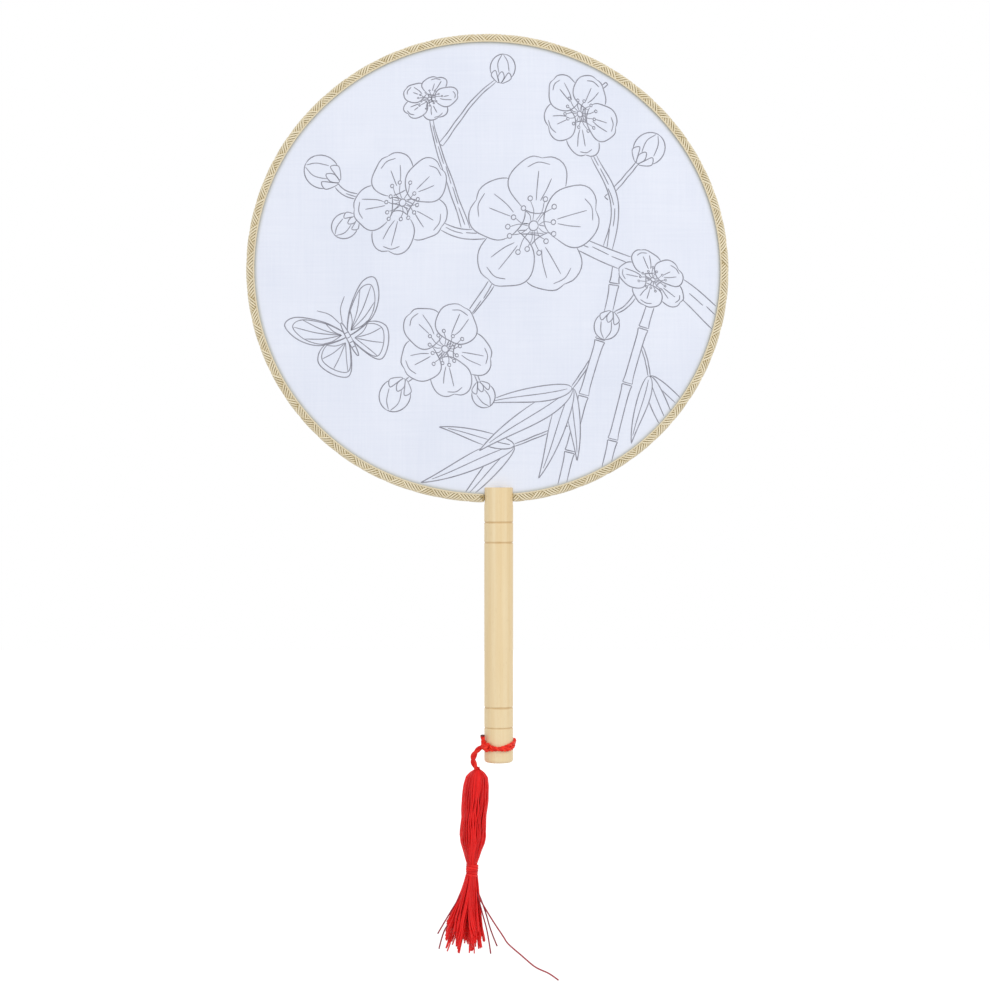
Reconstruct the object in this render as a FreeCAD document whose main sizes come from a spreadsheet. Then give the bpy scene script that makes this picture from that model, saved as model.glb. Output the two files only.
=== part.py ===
import FreeCAD, Part
import math
import os
import Sketcher

# Round silk hand fan, in millimetres.
# +Z runs up the handle to the head, the printed face looks along -Y, and +X is on that face's right.
# The origin is on the handle's axis, in the middle of the grip.

Vector = FreeCAD.Vector

SIZES = {
    # turned handle
    "handle_dia": 15.0,
    "handle_length": 142.8,
    "end_round": 1.6,
    "top_round": 0.4,
    "ring_width": 1.1,
    "ring_depth": 0.35,
    "ring_inset": 18.1,
    "ring_spacing": 10.5,
    "slot_depth": 8.85,
    "slot_gap": 0.1,
    "bore_depth": 38.0,
    "bore_gap": 0.1,
    # head: an oval of four arcs, measured on the braid's outer edge
    "head_width": 250.8,
    "oval_spread": 5.2,
    "top_crown": 2.6,
    "bottom_crown": 0.54,
    "head_tilt": -6.1,
    "head_shift": -5.9,
    # what the head is made of
    "wire_dia": 2.4,
    "leg_bend": 3.0,
    "leg_gap": 0.3,
    "leg_end_gap": 0.3,
    "silk_thickness": 0.25,
    "silk_margin": 0.3,
    "braid_width": 4.5,
    "braid_thickness": 0.9,
    "braid_round": 1.5,
    "braid_gap": 0.05,
    "braid_end_gap": 0.2,
    # cord tied round the handle
    "cord_dia": 1.5,
    "cord_gap": 0.3,
    "loop_turns": 2,
    "loop_pitch": 2.1,
    "loop_rise": 10.4,
    "loop_dip": 2.6,
    "knot_dia": 3.8,
    "knot_bearing": 206.6,
    "knot_drop": 1.6,
    "tail_dia": 2.0,
    "tail_length": 3.4,
    # hanging cord and tassel
    "hanger_dia": 2.4,
    "swing_gap": 0.3,
    "gather_dia": 3.4,
    "gather_reach": 2.3,
    "gather_drop": 13.4,
    "tassel_lean": 3.2,
    "head_top_dia": 5.2,
    "head_dia": 13.2,
    "head_shoulder": 6.0,
    "head_body": 27.0,
    "head_taper": 12.4,
    "neck_dia": 4.6,
    "neck_length": 7.4,
    "skirt_dia": 20.8,
    "skirt_length": 36.5,
    "skirt_bell": 1.2,
    "tie_dia": 0.8,
    "tie_gap": 0.05,
    "tie_turns": 5,
    "tie_pitch": 1.3,
    "thread_dia": 0.8,
}

# Middle points of the hanging cord's route, as X and Z from the knot: it bows out to the left.
HANGER_BOW = [(-3.5, -4.3), (-4.6, -7.1), (-4.1, -9.8)]

# Points of the loose thread's route, as X and Z from the foot of the tassel's neck, to its free end.
THREAD_ROUTE = [
    (0.4, -3.6),
    (2.8, -8.6),
    (6.2, -16.2),
    (11.6, -25.6),
    (18.0, -33.8),
    (25.8, -41.0),
    (33.4, -47.0),
    (39.6, -50.2),
    (45.0, -53.4),
]

# How much of the shorter run a free cord's bend may take, and of its depth a rounded edge may take.
BEND_SHARE = 0.45
ROUND_SHARE = 0.95

# Lengths that count as nothing, and the angle step that finds a winding's direction.
TOUCH = 1e-6
ANGLE_STEP = 1e-4

doc = FreeCAD.newDocument("round_fan")
sheet = doc.addObject("Spreadsheet::Sheet", "sizes")
for row, (alias, value) in enumerate(SIZES.items(), start=1):
    sheet.set(f"A{row}", alias)
    sheet.set(f"B{row}", str(value))
    sheet.setAlias(f"B{row}", alias)
doc.recompute()


def size(alias):
    """A driving size, read from the sheet."""
    return float(sheet.get(alias))


def bind(item, **expressions):
    """Tie an object's properties to the sheet."""
    for name, text in expressions.items():
        item.setExpression(name, text)


def feature(name, shape):
    """A helper shape of the document, such as a path or a profile."""
    item = doc.addObject("Part::Feature", name)
    item.Shape = shape
    return item


def flat(x, z):
    """A point given in the plane of the fan's face."""
    return Vector(x, 0, z)


def sweep(label, section, path):
    """A solid made by running one section along a path."""
    item = doc.addObject("Part::Sweep", label)
    item.Sections = [section]
    item.Spine = (path, [f"Edge{n + 1}" for n in range(len(path.Shape.Edges))])
    item.Solid = True
    item.Frenet = False
    item.Label = label
    doc.recompute()
    return item


def tube(label, edges, diameter):
    """A round tube along edges; diameter is the sheet's name for its size."""
    path = feature(f"{label}_path", Part.Wire(edges))
    first = edges[0]
    start = first.valueAt(first.FirstParameter)
    along = first.tangentAt(first.FirstParameter)
    section = doc.addObject("Part::Circle", f"{label}_section")
    bind(section, Radius=f"sizes.{diameter} / 2")
    section.Placement = FreeCAD.Placement(start, FreeCAD.Rotation(Vector(0, 0, 1), along))
    item = sweep(label, section, path)
    expected = math.pi * size(diameter) ** 2 / 4 * path.Shape.Length
    print(f"{label}: length {path.Shape.Length:.1f}, volume {item.Shape.Volume:.1f} of {expected:.1f}")
    return item


def plane_arc(centre, radius, start, stop):
    """An arc in the plane of the face, between two bearings in degrees from +X towards +Z."""
    points = []
    for bearing in (start, (start + stop) / 2, stop):
        angle = math.radians(bearing)
        points.append(centre + flat(radius * math.cos(angle), radius * math.sin(angle)))
    return Part.Arc(*points).toShape()


def straight_edges(points):
    """Straight edges from each point to the next."""
    return [Part.LineSegment(*ends).toShape() for ends in zip(points, points[1:])]


def bent_between(start, along, stop):
    """The arc that leaves start in the direction along and ends at stop."""
    chord = stop - start
    reach = chord.Length
    chord.normalize()
    lift = along - chord * along.dot(chord)
    lift.normalize()
    half_turn = math.acos(max(-1.0, min(1.0, along.dot(chord))))
    middle = (start + stop) / 2 + lift * (reach / 2 * math.tan(half_turn / 2))
    return Part.Arc(start, middle, stop).toShape()


def biarc(start, along, stop, onward):
    """Two tangent arcs from start to stop that keep both end directions."""
    gap = stop - start
    both = along + onward
    bend = 2 * (1 - along.dot(onward))
    pull = gap.dot(both)
    reach = (math.sqrt(pull * pull + bend * gap.dot(gap)) - pull) / bend
    before = start + along * reach
    after = stop - onward * reach
    joint = (before + after) / 2
    through = after - before
    through.normalize()
    return [bent_between(start, along, joint), bent_between(joint, through, stop)]


def winding(turn_point, start, stop, straight):
    """Edges of a wound cord: quarter-turn biarcs, with a straight run at each end."""
    count = max(1, math.ceil((stop - start) / (math.pi / 2)))
    angles = [start + (stop - start) * n / count for n in range(count + 1)]
    points = [turn_point(angle) for angle in angles]
    ways = []
    for angle in angles:
        way = turn_point(angle + ANGLE_STEP) - turn_point(angle - ANGLE_STEP)
        way.normalize()
        ways.append(way)
    edges = [Part.LineSegment(points[0] - ways[0] * straight, points[0]).toShape()]
    for n in range(count):
        edges += biarc(points[n], ways[n], points[n + 1], ways[n + 1])
    edges.append(Part.LineSegment(points[-1], points[-1] + ways[-1] * straight).toShape())
    return edges


def print_self_gap(label, edges, diameter, turn_length):
    """Measure on points how near a wound tube comes to itself."""
    points = Part.Wire(edges).discretize(Distance=diameter / 2)
    apart = int(turn_length / diameter)
    least = min(
        points[a].distanceToPoint(points[b])
        for a in range(len(points))
        for b in range(a + apart, len(points))
    )
    print(f"{label}: least gap to itself {least - diameter:.2f}")


def cord_edges(label, points):
    """A free cord's route: straight runs joined by the largest tangent arcs they allow."""
    edges = []
    last = points[0]
    for before, corner, after in zip(points, points[1:], points[2:]):
        back = before - corner
        ahead = after - corner
        shorter = min(back.Length, ahead.Length)
        back.normalize()
        ahead.normalize()
        half_turn = (math.pi - back.getAngle(ahead)) / 2
        setback = BEND_SHARE * shorter
        print(f"{label}: bend radius {setback / math.tan(half_turn):.1f}")
        entry = corner + back * setback
        leave = corner + ahead * setback
        edges.append(Part.LineSegment(last, entry).toShape())
        edges.append(bent_between(entry, back * -1, leave))
        last = leave
    edges.append(Part.LineSegment(last, points[-1]).toShape())
    return edges


# The head's oval. Its side arcs have their centres oval_spread from the middle, and the top and
# bottom arcs are flatter: each stands its crown further out than a side arc's radius.
side_radius = size("head_width") / 2 - size("oval_spread")


def crown_offset(crown):
    """How far past the middle a top or bottom arc has its centre."""
    return (size("oval_spread") ** 2 - size(crown) ** 2) / (2 * size(crown))


top_offset = crown_offset("top_crown")
bottom_offset = crown_offset("bottom_crown")
top_radius = side_radius + size("top_crown") + top_offset
bottom_radius = side_radius + size("bottom_crown") + bottom_offset
top_joint = math.degrees(math.atan2(top_offset, size("oval_spread")))
bottom_joint = math.degrees(math.atan2(bottom_offset, size("oval_spread")))

wire_radius = size("wire_dia") / 2
wire_inset = size("braid_thickness") + size("braid_gap") + wire_radius
silk_inset = size("braid_thickness") + size("silk_margin")
stack = size("wire_dia") + 2 * size("silk_thickness")

# The hoop's bends rest just above the slot's floor, which sets the head's height on the handle.
handle_radius = size("handle_dia") / 2
handle_top = size("handle_length") / 2
seat_height = handle_top - size("slot_depth") + size("slot_gap") + size("leg_bend")
tilt = math.radians(size("head_tilt"))


def head_turned(across, up):
    """A point of the untilted head, turned about the head's middle."""
    x = across * math.cos(tilt) - up * math.sin(tilt)
    z = across * math.sin(tilt) + up * math.cos(tilt)
    return flat(x, z)


bottom_centre = head_turned(0, bottom_offset) + flat(size("head_shift"), 0)
wire_drop = math.sqrt((bottom_radius - wire_inset) ** 2 - bottom_centre.x ** 2)
head_middle = flat(size("head_shift"), seat_height + wire_drop - bottom_centre.z)


def oval_arcs(inset, first, last):
    """The head's arcs, inset from the braid's edge, from one bearing on the bottom arc to another."""
    turn = size("head_tilt")
    right = head_middle + head_turned(size("oval_spread"), 0)
    left = head_middle + head_turned(-size("oval_spread"), 0)
    top = head_middle + head_turned(0, -top_offset)
    bottom = head_middle + head_turned(0, bottom_offset)
    side = side_radius - inset
    edges = [plane_arc(bottom, bottom_radius - inset, first, turn - bottom_joint)]
    edges.append(plane_arc(right, side, turn - bottom_joint, turn + top_joint))
    edges.append(plane_arc(top, top_radius - inset, turn + top_joint, turn + 180 - top_joint))
    edges.append(plane_arc(left, side, turn + 180 - top_joint, turn + 180 + bottom_joint))
    edges.append(plane_arc(bottom, bottom_radius - inset, turn + 180 + bottom_joint - 360, last))
    return edges


def bottom_bearing(inset, x):
    """The bearing on the bottom arc, in degrees, of the point above a given X."""
    bottom = head_middle + head_turned(0, bottom_offset)
    return -90 + math.degrees(math.asin((x - bottom.x) / (bottom_radius - inset)))


def origin_plane(body, role):
    """One of a body's own origin planes or axes."""
    for item in body.Origin.OriginFeatures:
        if item.Role == role:
            return item
    raise ValueError(f"no {role}")


def new_sketch(body, name, role):
    """A sketch on one of the body's origin planes."""
    sketch = body.newObject("Sketcher::SketchObject", name)
    sketch.AttachmentSupport = (origin_plane(body, role), "")
    sketch.MapMode = "FlatFace"
    return sketch


def dimension(sketch, constraint, expression):
    """Add a dimension to a sketch and tie it to the sheet."""
    index = sketch.addConstraint(constraint)
    sketch.setExpression(f"Constraints[{index}]", expression)


def make_handle():
    """The turned wooden handle: rounded rod, slot for the rim, bore for the wire's legs, ring grooves."""
    body = doc.addObject("PartDesign::Body", "handle")
    centre = Vector(0, 0, 0)
    up = Vector(0, 0, 1)

    outline = new_sketch(body, "rod_outline", "XY_Plane")
    circle = outline.addGeometry(Part.Circle(centre, up, handle_radius))
    outline.addConstraint(Sketcher.Constraint("Coincident", circle, 3, -1, 1))
    dimension(outline, Sketcher.Constraint("Radius", circle, handle_radius), "sizes.handle_dia / 2")
    rod = body.newObject("PartDesign::Pad", "rod")
    rod.Profile = outline
    rod.SideType = "Symmetric"
    bind(rod, Length="sizes.handle_length")
    doc.recompute()

    for name, end, radius in (("lower_end", -1, "end_round"), ("upper_end", 1, "top_round")):
        tip = body.Tip
        names = [
            f"Edge{n + 1}"
            for n, edge in enumerate(tip.Shape.Edges)
            if edge.BoundBox.ZLength < TOUCH and edge.BoundBox.ZMin * end > handle_top - TOUCH
        ]
        fillet = body.newObject("PartDesign::Fillet", name)
        fillet.Base = (tip, names)
        bind(fillet, Radius=f"sizes.{radius}")
        doc.recompute()

    mouth = new_sketch(body, "slot_mouth", "XY_Plane")
    bind(mouth, **{".AttachmentOffset.Base.z": "sizes.handle_length / 2"})
    across = size("handle_dia")
    half_slot = stack / 2 + size("slot_gap")
    corners = [(-across, -half_slot), (across, -half_slot), (across, half_slot), (-across, half_slot)]
    for n in range(4):
        mouth.addGeometry(Part.LineSegment(Vector(*corners[n], 0), Vector(*corners[(n + 1) % 4], 0)))
    for n in range(4):
        mouth.addConstraint(Sketcher.Constraint("Coincident", n, 2, (n + 1) % 4, 1))
        mouth.addConstraint(Sketcher.Constraint("Horizontal" if n % 2 == 0 else "Vertical", n))
    mouth.addConstraint(Sketcher.Constraint("Symmetric", 0, 1, 1, 2, -1, 1))
    dimension(mouth, Sketcher.Constraint("DistanceX", 0, 1, 0, 2, 2 * across), "sizes.handle_dia * 2")
    slot_width = "sizes.wire_dia + 2 * sizes.silk_thickness + 2 * sizes.slot_gap"
    dimension(mouth, Sketcher.Constraint("DistanceY", 1, 1, 1, 2, 2 * half_slot), slot_width)
    slot = body.newObject("PartDesign::Pocket", "rim_slot")
    slot.Profile = mouth
    bind(slot, Length="sizes.slot_depth")
    doc.recompute()

    hole = new_sketch(body, "bore_mouth", "XY_Plane")
    bind(hole, **{".AttachmentOffset.Base.z": "sizes.handle_length / 2"})
    bore_radius = size("wire_dia") + size("leg_gap") / 2 + size("bore_gap")
    circle = hole.addGeometry(Part.Circle(centre, up, bore_radius))
    hole.addConstraint(Sketcher.Constraint("Coincident", circle, 3, -1, 1))
    radius = "sizes.wire_dia + sizes.leg_gap / 2 + sizes.bore_gap"
    dimension(hole, Sketcher.Constraint("Radius", circle, bore_radius), radius)
    bore = body.newObject("PartDesign::Pocket", "leg_bore")
    bore.Profile = hole
    bind(bore, Length="sizes.bore_depth")
    doc.recompute()

    rings = new_sketch(body, "ring_profile", "XZ_Plane")
    for ring in range(2):
        height = handle_top - size("ring_inset") - ring * size("ring_spacing")
        height_text = f"sizes.handle_length / 2 - sizes.ring_inset - {ring} * sizes.ring_spacing"
        corners = []
        for out, up in ((-1, 0), (1, -1), (1, 1)):
            x = handle_radius + out * size("ring_depth")
            z = height + up * size("ring_width")
            x_text = f"sizes.handle_dia / 2 + {out} * sizes.ring_depth"
            corners.append((x, z, x_text, f"{height_text} + {up} * sizes.ring_width"))
        first = rings.GeometryCount
        for n in range(3):
            ends = [Vector(*corners[m % 3][:2], 0) for m in (n, n + 1)]
            rings.addGeometry(Part.LineSegment(*ends))
        for n, (x, z, x_text, z_text) in enumerate(corners):
            rings.addConstraint(Sketcher.Constraint("Coincident", first + n, 2, first + (n + 1) % 3, 1))
            dimension(rings, Sketcher.Constraint("DistanceX", -1, 1, first + n, 1, x), x_text)
            dimension(rings, Sketcher.Constraint("DistanceY", -1, 1, first + n, 1, z), z_text)
    whole = body.Tip.Shape.Volume
    groove = body.newObject("PartDesign::Groove", "upper_rings")
    groove.Profile = rings
    groove.ReferenceAxis = (origin_plane(body, "Z_Axis"), [""])
    groove.Angle = 360
    doc.recompute()
    upper = groove.Shape.Volume
    mirrored = body.newObject("PartDesign::Mirrored", "lower_rings")
    mirrored.Originals = [groove]
    mirrored.MirrorPlane = (origin_plane(body, "XY_Plane"), [""])
    body.Tip = mirrored
    doc.recompute()
    print(f"handle rings cut {whole - upper:.2f} above and {upper - body.Shape.Volume:.2f} below")
    return body


def make_hoop():
    """The steel wire hoop: its two ends turn down into the handle's bore as legs."""
    bend = size("leg_bend")
    leg_x = (size("wire_dia") + size("leg_gap")) / 2
    leg_foot = handle_top - size("bore_depth") + size("leg_end_gap")
    bottom = head_middle + head_turned(0, bottom_offset)
    reach = bottom_radius - wire_inset + bend
    bends = {}
    for side in (-1, 1):
        x = side * (leg_x + bend)
        z = bottom.z - math.sqrt(reach ** 2 - (x - bottom.x) ** 2)
        bends[side] = flat(x, z)

    def touch(side):
        way = bends[side] - bottom
        return math.degrees(math.atan2(way.z, way.x))

    def leg(side):
        top = flat(side * leg_x, bends[side].z)
        return Part.LineSegment(flat(side * leg_x, leg_foot), top).toShape()

    def corner(side):
        centre = bends[side]
        start = 0 if side < 0 else 180
        stop = touch(side) + 180
        return plane_arc(centre, bend, start, stop)

    edges = [leg(1), corner(1)]
    edges += oval_arcs(wire_inset, touch(1), touch(-1))
    edges += [corner(-1), leg(-1)]
    return tube("hoop_wire", edges, "wire_dia")


def make_silk(label, front):
    """One silk face, stretched flat over the hoop, with its front side at a given Y."""
    outline = Part.Wire(oval_arcs(silk_inset, -90, -90))
    outline.translate(Vector(0, front, 0))
    profile = feature(f"{label}_outline", outline)
    item = doc.addObject("Part::Extrusion", label)
    item.Base = profile
    item.DirMode = "Custom"
    item.Dir = Vector(0, 1, 0)
    item.Solid = True
    bind(item, LengthFwd="sizes.silk_thickness")
    item.Label = label
    return item


def make_braid():
    """The woven braid folded over the rim: a channel with a rounded back, open at the handle."""
    reach = handle_radius + size("braid_end_gap")
    edges = oval_arcs(wire_inset, bottom_bearing(wire_inset, reach), bottom_bearing(wire_inset, -reach))
    path = feature("braid_path", Part.Wire(edges))
    start = edges[0].valueAt(edges[0].FirstParameter)
    bottom = head_middle + head_turned(0, bottom_offset)
    outward = start - bottom
    outward.normalize()
    half_stack = stack / 2
    half_depth = half_stack + size("braid_thickness")
    back = wire_inset
    web = back - size("braid_thickness")
    lip = back - size("braid_width")
    round_off = min(size("braid_round"), ROUND_SHARE * half_depth)
    slant = round_off * (1 - math.sqrt(0.5))

    def at(out, y):
        return start + outward * out + Vector(0, y, 0)

    def rounded(side):
        edge = side * half_depth
        flat_end = at(back - round_off, edge)
        back_end = at(back, edge - side * round_off)
        return [flat_end, at(back - slant, edge - side * slant), back_end]

    front_round = rounded(-1)
    rear_round = rounded(1)
    inside = [
        at(lip, half_depth),
        at(lip, half_stack),
        at(web, half_stack),
        at(web, -half_stack),
        at(lip, -half_stack),
        at(lip, -half_depth),
    ]
    outline = [Part.Arc(*front_round).toShape()]
    outline += straight_edges([front_round[-1], rear_round[-1]])
    outline.append(Part.Arc(*reversed(rear_round)).toShape())
    outline += straight_edges([rear_round[0], *inside, front_round[0]])
    section = feature("braid_section", Part.Wire(outline))
    return sweep("rim_braid", section, path)


knot_out = handle_radius + size("cord_gap") + size("knot_dia") / 2
knot_angle = math.radians(size("knot_bearing"))
loop_height = size("loop_rise") - handle_top
knot_height = loop_height - size("knot_drop")
knot = Vector(knot_out * math.cos(knot_angle), knot_out * math.sin(knot_angle), knot_height)
gather = knot + flat(-size("gather_reach"), -size("gather_drop"))


def make_tie_cord():
    """The cord's turns round the handle. They dip in front, and both ends run into the knot."""
    ring = handle_radius + size("cord_gap") + size("cord_dia") / 2
    turns = size("loop_turns")
    clear = math.asin(size("cord_dia") / 2 / ring)

    def turn_point(angle):
        climb = size("loop_pitch") * (angle / (2 * math.pi) - turns / 2)
        bearing = knot_angle + angle
        z = loop_height + climb + size("loop_dip") * math.sin(bearing)
        return Vector(ring * math.cos(bearing), ring * math.sin(bearing), z)

    edges = winding(turn_point, clear, 2 * math.pi * turns - clear, size("cord_dia"))
    print_self_gap("tie_cord", edges, size("cord_dia"), math.pi * ring)
    return tube("tie_cord", edges, "cord_dia")


def make_knot():
    """The knot that closes the turns, with its short cut tail standing up."""
    lump = doc.addObject("Part::Sphere", "knot_lump")
    bind(lump, Radius="sizes.knot_dia / 2")
    lump.Placement.Base = knot
    tail = doc.addObject("Part::Cylinder", "knot_tail")
    bind(tail, Radius="sizes.tail_dia / 2", Height="sizes.knot_dia / 2 + sizes.tail_length")
    tail.Placement.Base = knot
    item = doc.addObject("Part::Fuse", "tie_knot")
    item.Base = lump
    item.Tool = tail
    return item


def make_hanging_cord():
    """The short cord from the knot to the tassel, bowed out to the left."""
    bow = [knot + flat(x, z) for x, z in HANGER_BOW]
    leave = bow[0] - knot
    leave.normalize()
    arrive = bow[-1] - gather
    arrive.normalize()
    first = knot + leave * (size("knot_dia") / 2 + size("swing_gap"))
    last = gather + arrive * (size("gather_dia") / 2 + size("swing_gap"))
    return tube("hanging_cord", cord_edges("hanging_cord", [first] + bow + [last]), "hanger_dia")


lean = math.radians(size("tassel_lean"))
tassel_down = flat(-math.sin(lean), -math.cos(lean))
tassel_out = flat(math.cos(lean), -math.sin(lean))
head_start = size("gather_dia") / 2
neck_start = head_start + size("head_shoulder") + size("head_body") + size("head_taper")
neck_end = neck_start + size("neck_length")


def in_tassel(down, out):
    """A point of the tassel's profile, by its way down from the gathering knot and out from the axis."""
    return gather + tassel_down * down + tassel_out * out


def turned(label, edges):
    """A solid turned about the tassel's leaning axis."""
    profile = feature(f"{label}_profile", Part.Wire(edges))
    item = doc.addObject("Part::Revolution", label)
    item.Source = profile
    item.Base = gather
    item.Axis = tassel_down
    item.Angle = 360
    item.Solid = True
    item.Label = label
    return item


def make_gather_knot():
    """The small knot that gathers the tassel's threads on the hanging cord."""
    item = doc.addObject("Part::Sphere", "gather_knot")
    bind(item, Radius="sizes.gather_dia / 2")
    item.Placement.Base = gather
    return item


def make_tassel_head():
    """The folded threads above the tie: a full barrel that draws in to the neck."""
    top = size("head_top_dia") / 2
    full = size("head_dia") / 2
    neck = size("neck_dia") / 2
    shoulder_end = head_start + size("head_shoulder")
    body_end = shoulder_end + size("head_body")
    crown = bent_between(in_tassel(shoulder_end, full), tassel_down * -1, in_tassel(head_start, top))
    corners = [
        in_tassel(shoulder_end, full),
        in_tassel(body_end, full),
        in_tassel(neck_start, neck),
        in_tassel(neck_end, neck),
        in_tassel(neck_end, 0),
        in_tassel(head_start, 0),
        in_tassel(head_start, top),
    ]
    return turned("tassel_head", [crown] + straight_edges(corners))


def make_tassel_skirt():
    """The cut threads below the tie, spread into a bell."""
    neck = size("neck_dia") / 2
    hem = size("skirt_dia") / 2
    end = neck_end + size("skirt_length")
    middle = in_tassel((neck_end + end) / 2, (neck + hem) / 2 + size("skirt_bell"))
    side = Part.Arc(in_tassel(neck_end, neck), middle, in_tassel(end, hem)).toShape()
    corners = [in_tassel(end, hem), in_tassel(end, 0), in_tassel(neck_end, 0), in_tassel(neck_end, neck)]
    return turned("tassel_skirt", [side] + straight_edges(corners))


def make_tassel_tie():
    """The thread wound round the tassel's neck."""
    ring = size("neck_dia") / 2 + size("tie_gap") + size("tie_dia") / 2
    turns = size("tie_turns")
    start = neck_start + (size("neck_length") - turns * size("tie_pitch")) / 2

    def turn_point(angle):
        down = start + size("tie_pitch") * angle / (2 * math.pi)
        side = Vector(0, ring * math.sin(angle), 0)
        return in_tassel(down, ring * math.cos(angle)) + side

    edges = winding(turn_point, 0, 2 * math.pi * turns, size("tie_dia"))
    print_self_gap("tassel_tie", edges, size("tie_dia"), math.pi * ring)
    return tube("tassel_tie", edges, "tie_dia")


def make_stray_thread():
    """The one long thread that has come loose from the skirt."""
    neck_foot = in_tassel(neck_end, 0)
    points = [neck_foot + flat(x, z) for x, z in THREAD_ROUTE]
    return tube("stray_thread", cord_edges("stray_thread", points), "thread_dia")


pieces = [
    make_handle(),
    make_hoop(),
    make_silk("front_silk", -stack / 2),
    make_silk("back_silk", wire_radius),
    make_braid(),
    make_tie_cord(),
    make_knot(),
    make_hanging_cord(),
    make_gather_knot(),
    make_tassel_head(),
    make_tassel_tie(),
    make_tassel_skirt(),
    make_stray_thread(),
]
doc.recompute()

for item in doc.Objects:
    if "Invalid" in item.State or "Error" in item.State:
        raise RuntimeError(f"{item.Label} failed: {item.State}")

os.makedirs("parts", exist_ok=True)
for piece in pieces:
    shape = piece.Shape
    if shape.isNull() or not shape.isValid() or not shape.Solids:
        raise RuntimeError(f"{piece.Label} has no valid solid")
    shape.exportStep(f"parts/{piece.Label}.step")
    box = shape.BoundBox
    print(
        f"{piece.Label}: {len(shape.Solids)} solid, volume {shape.Volume:.1f}, "
        f"X {box.XMin:.1f} to {box.XMax:.1f}, Y {box.YMin:.1f} to {box.YMax:.1f}, "
        f"Z {box.ZMin:.1f} to {box.ZMax:.1f}"
    )
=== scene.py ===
"""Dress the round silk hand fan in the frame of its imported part.

Silk faces with a printed line drawing, a woven braid round the rim, a turned bamboo handle, and a red cord
with a tassel of loose threads. Lengths are in metres.
"""

import logging
import math
import random
from collections.abc import Callable, Sequence
from dataclasses import dataclass, field
from enum import Enum
from functools import partial
from typing import Any

import bpy
import numpy as np
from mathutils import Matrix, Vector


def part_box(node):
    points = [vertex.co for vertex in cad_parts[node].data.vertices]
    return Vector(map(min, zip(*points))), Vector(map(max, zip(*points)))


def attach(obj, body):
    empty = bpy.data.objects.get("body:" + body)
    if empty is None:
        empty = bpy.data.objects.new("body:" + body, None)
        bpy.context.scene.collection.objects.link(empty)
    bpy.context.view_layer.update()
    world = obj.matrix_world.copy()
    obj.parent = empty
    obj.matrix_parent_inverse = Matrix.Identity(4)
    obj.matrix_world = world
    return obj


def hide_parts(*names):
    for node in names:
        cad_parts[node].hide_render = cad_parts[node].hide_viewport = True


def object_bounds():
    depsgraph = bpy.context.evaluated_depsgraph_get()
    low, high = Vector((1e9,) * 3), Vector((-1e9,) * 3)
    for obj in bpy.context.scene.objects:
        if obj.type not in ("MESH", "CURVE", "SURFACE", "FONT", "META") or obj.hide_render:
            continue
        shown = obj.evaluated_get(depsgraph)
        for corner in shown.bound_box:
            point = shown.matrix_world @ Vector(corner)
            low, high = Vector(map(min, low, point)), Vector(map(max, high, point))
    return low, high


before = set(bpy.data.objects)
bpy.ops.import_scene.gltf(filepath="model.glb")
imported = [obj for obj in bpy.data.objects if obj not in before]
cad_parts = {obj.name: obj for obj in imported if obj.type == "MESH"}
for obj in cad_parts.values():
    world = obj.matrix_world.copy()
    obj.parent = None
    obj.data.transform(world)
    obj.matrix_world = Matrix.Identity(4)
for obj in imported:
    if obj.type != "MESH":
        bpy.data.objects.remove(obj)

LOG = logging.getLogger("round_fan")
MM = 0.001
TURN = 2 * math.pi
SEED = 41
# Range of a wave's chance start, in radians.
ANY_PHASE = (0, 6.28)
CAD_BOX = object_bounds()

# Colour sockets of Blender's mix node, which has several inputs of the same name.
MIX_A = 6
MIX_B = 7


class Body(Enum):
    """The moving bodies that pieces ride on."""

    FAN = "fan"
    LOOP = "tie_loop"
    HANGER = "hanger"
    TASSEL = "tassel"


class Side(Enum):
    """Which face of the fan a cloth is on, as the sign of its Y."""

    FRONT = -1
    BACK = 1


def linear(code: str) -> tuple[float, float, float, float]:
    """Turn an sRGB hex colour into linear RGBA.

    Args:
        code: Six hex digits after a hash sign.

    Returns:
        Red, green, blue and an alpha of 1.
    """
    parts = [int(code[n:n + 2], 16) / 255 for n in (1, 3, 5)]
    return (*[c / 12.92 if c <= 0.04045 else ((c + 0.055) / 1.055) ** 2.4 for c in parts], 1.0)


def add_node(
    tree: bpy.types.NodeTree, kind: str, inputs: dict[str | int, Any] | None = None, **settings: Any
) -> bpy.types.Node:
    """Add a node with its settings, and set or link its inputs.

    Args:
        tree: The node tree of a material or of the world.
        kind: Blender's name for the node, without the ShaderNode that it starts with.
        inputs: Socket name or number, with a value, an output to link, or a node whose first output in use
            is linked.
        **settings: The node's own properties.

    Returns:
        The new node.
    """
    node = tree.nodes.new(f"ShaderNode{kind}")
    for name, value in settings.items():
        setattr(node, name, value)
    for name, value in (inputs or {}).items():
        if isinstance(value, bpy.types.Node):
            value = next(output for output in value.outputs if output.enabled)
        if isinstance(value, bpy.types.NodeSocket):
            tree.links.new(value, node.inputs[name])
        else:
            node.inputs[name].default_value = value
    return node


# add_node with its tree given.
AddNode = Callable[..., bpy.types.Node]


def background_rays(node: AddNode) -> bpy.types.Node:
    """Give 1 to the rays that show the white behind the object, which metal and glass show too."""
    rays = node("LightPath")
    shown = rays.outputs["Is Camera Ray"]
    for other in ("Is Glossy Ray", "Is Transmission Ray"):
        shown = node("Math", {0: shown, 1: rays.outputs[other]}, operation="MAXIMUM")
    return shown


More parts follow.
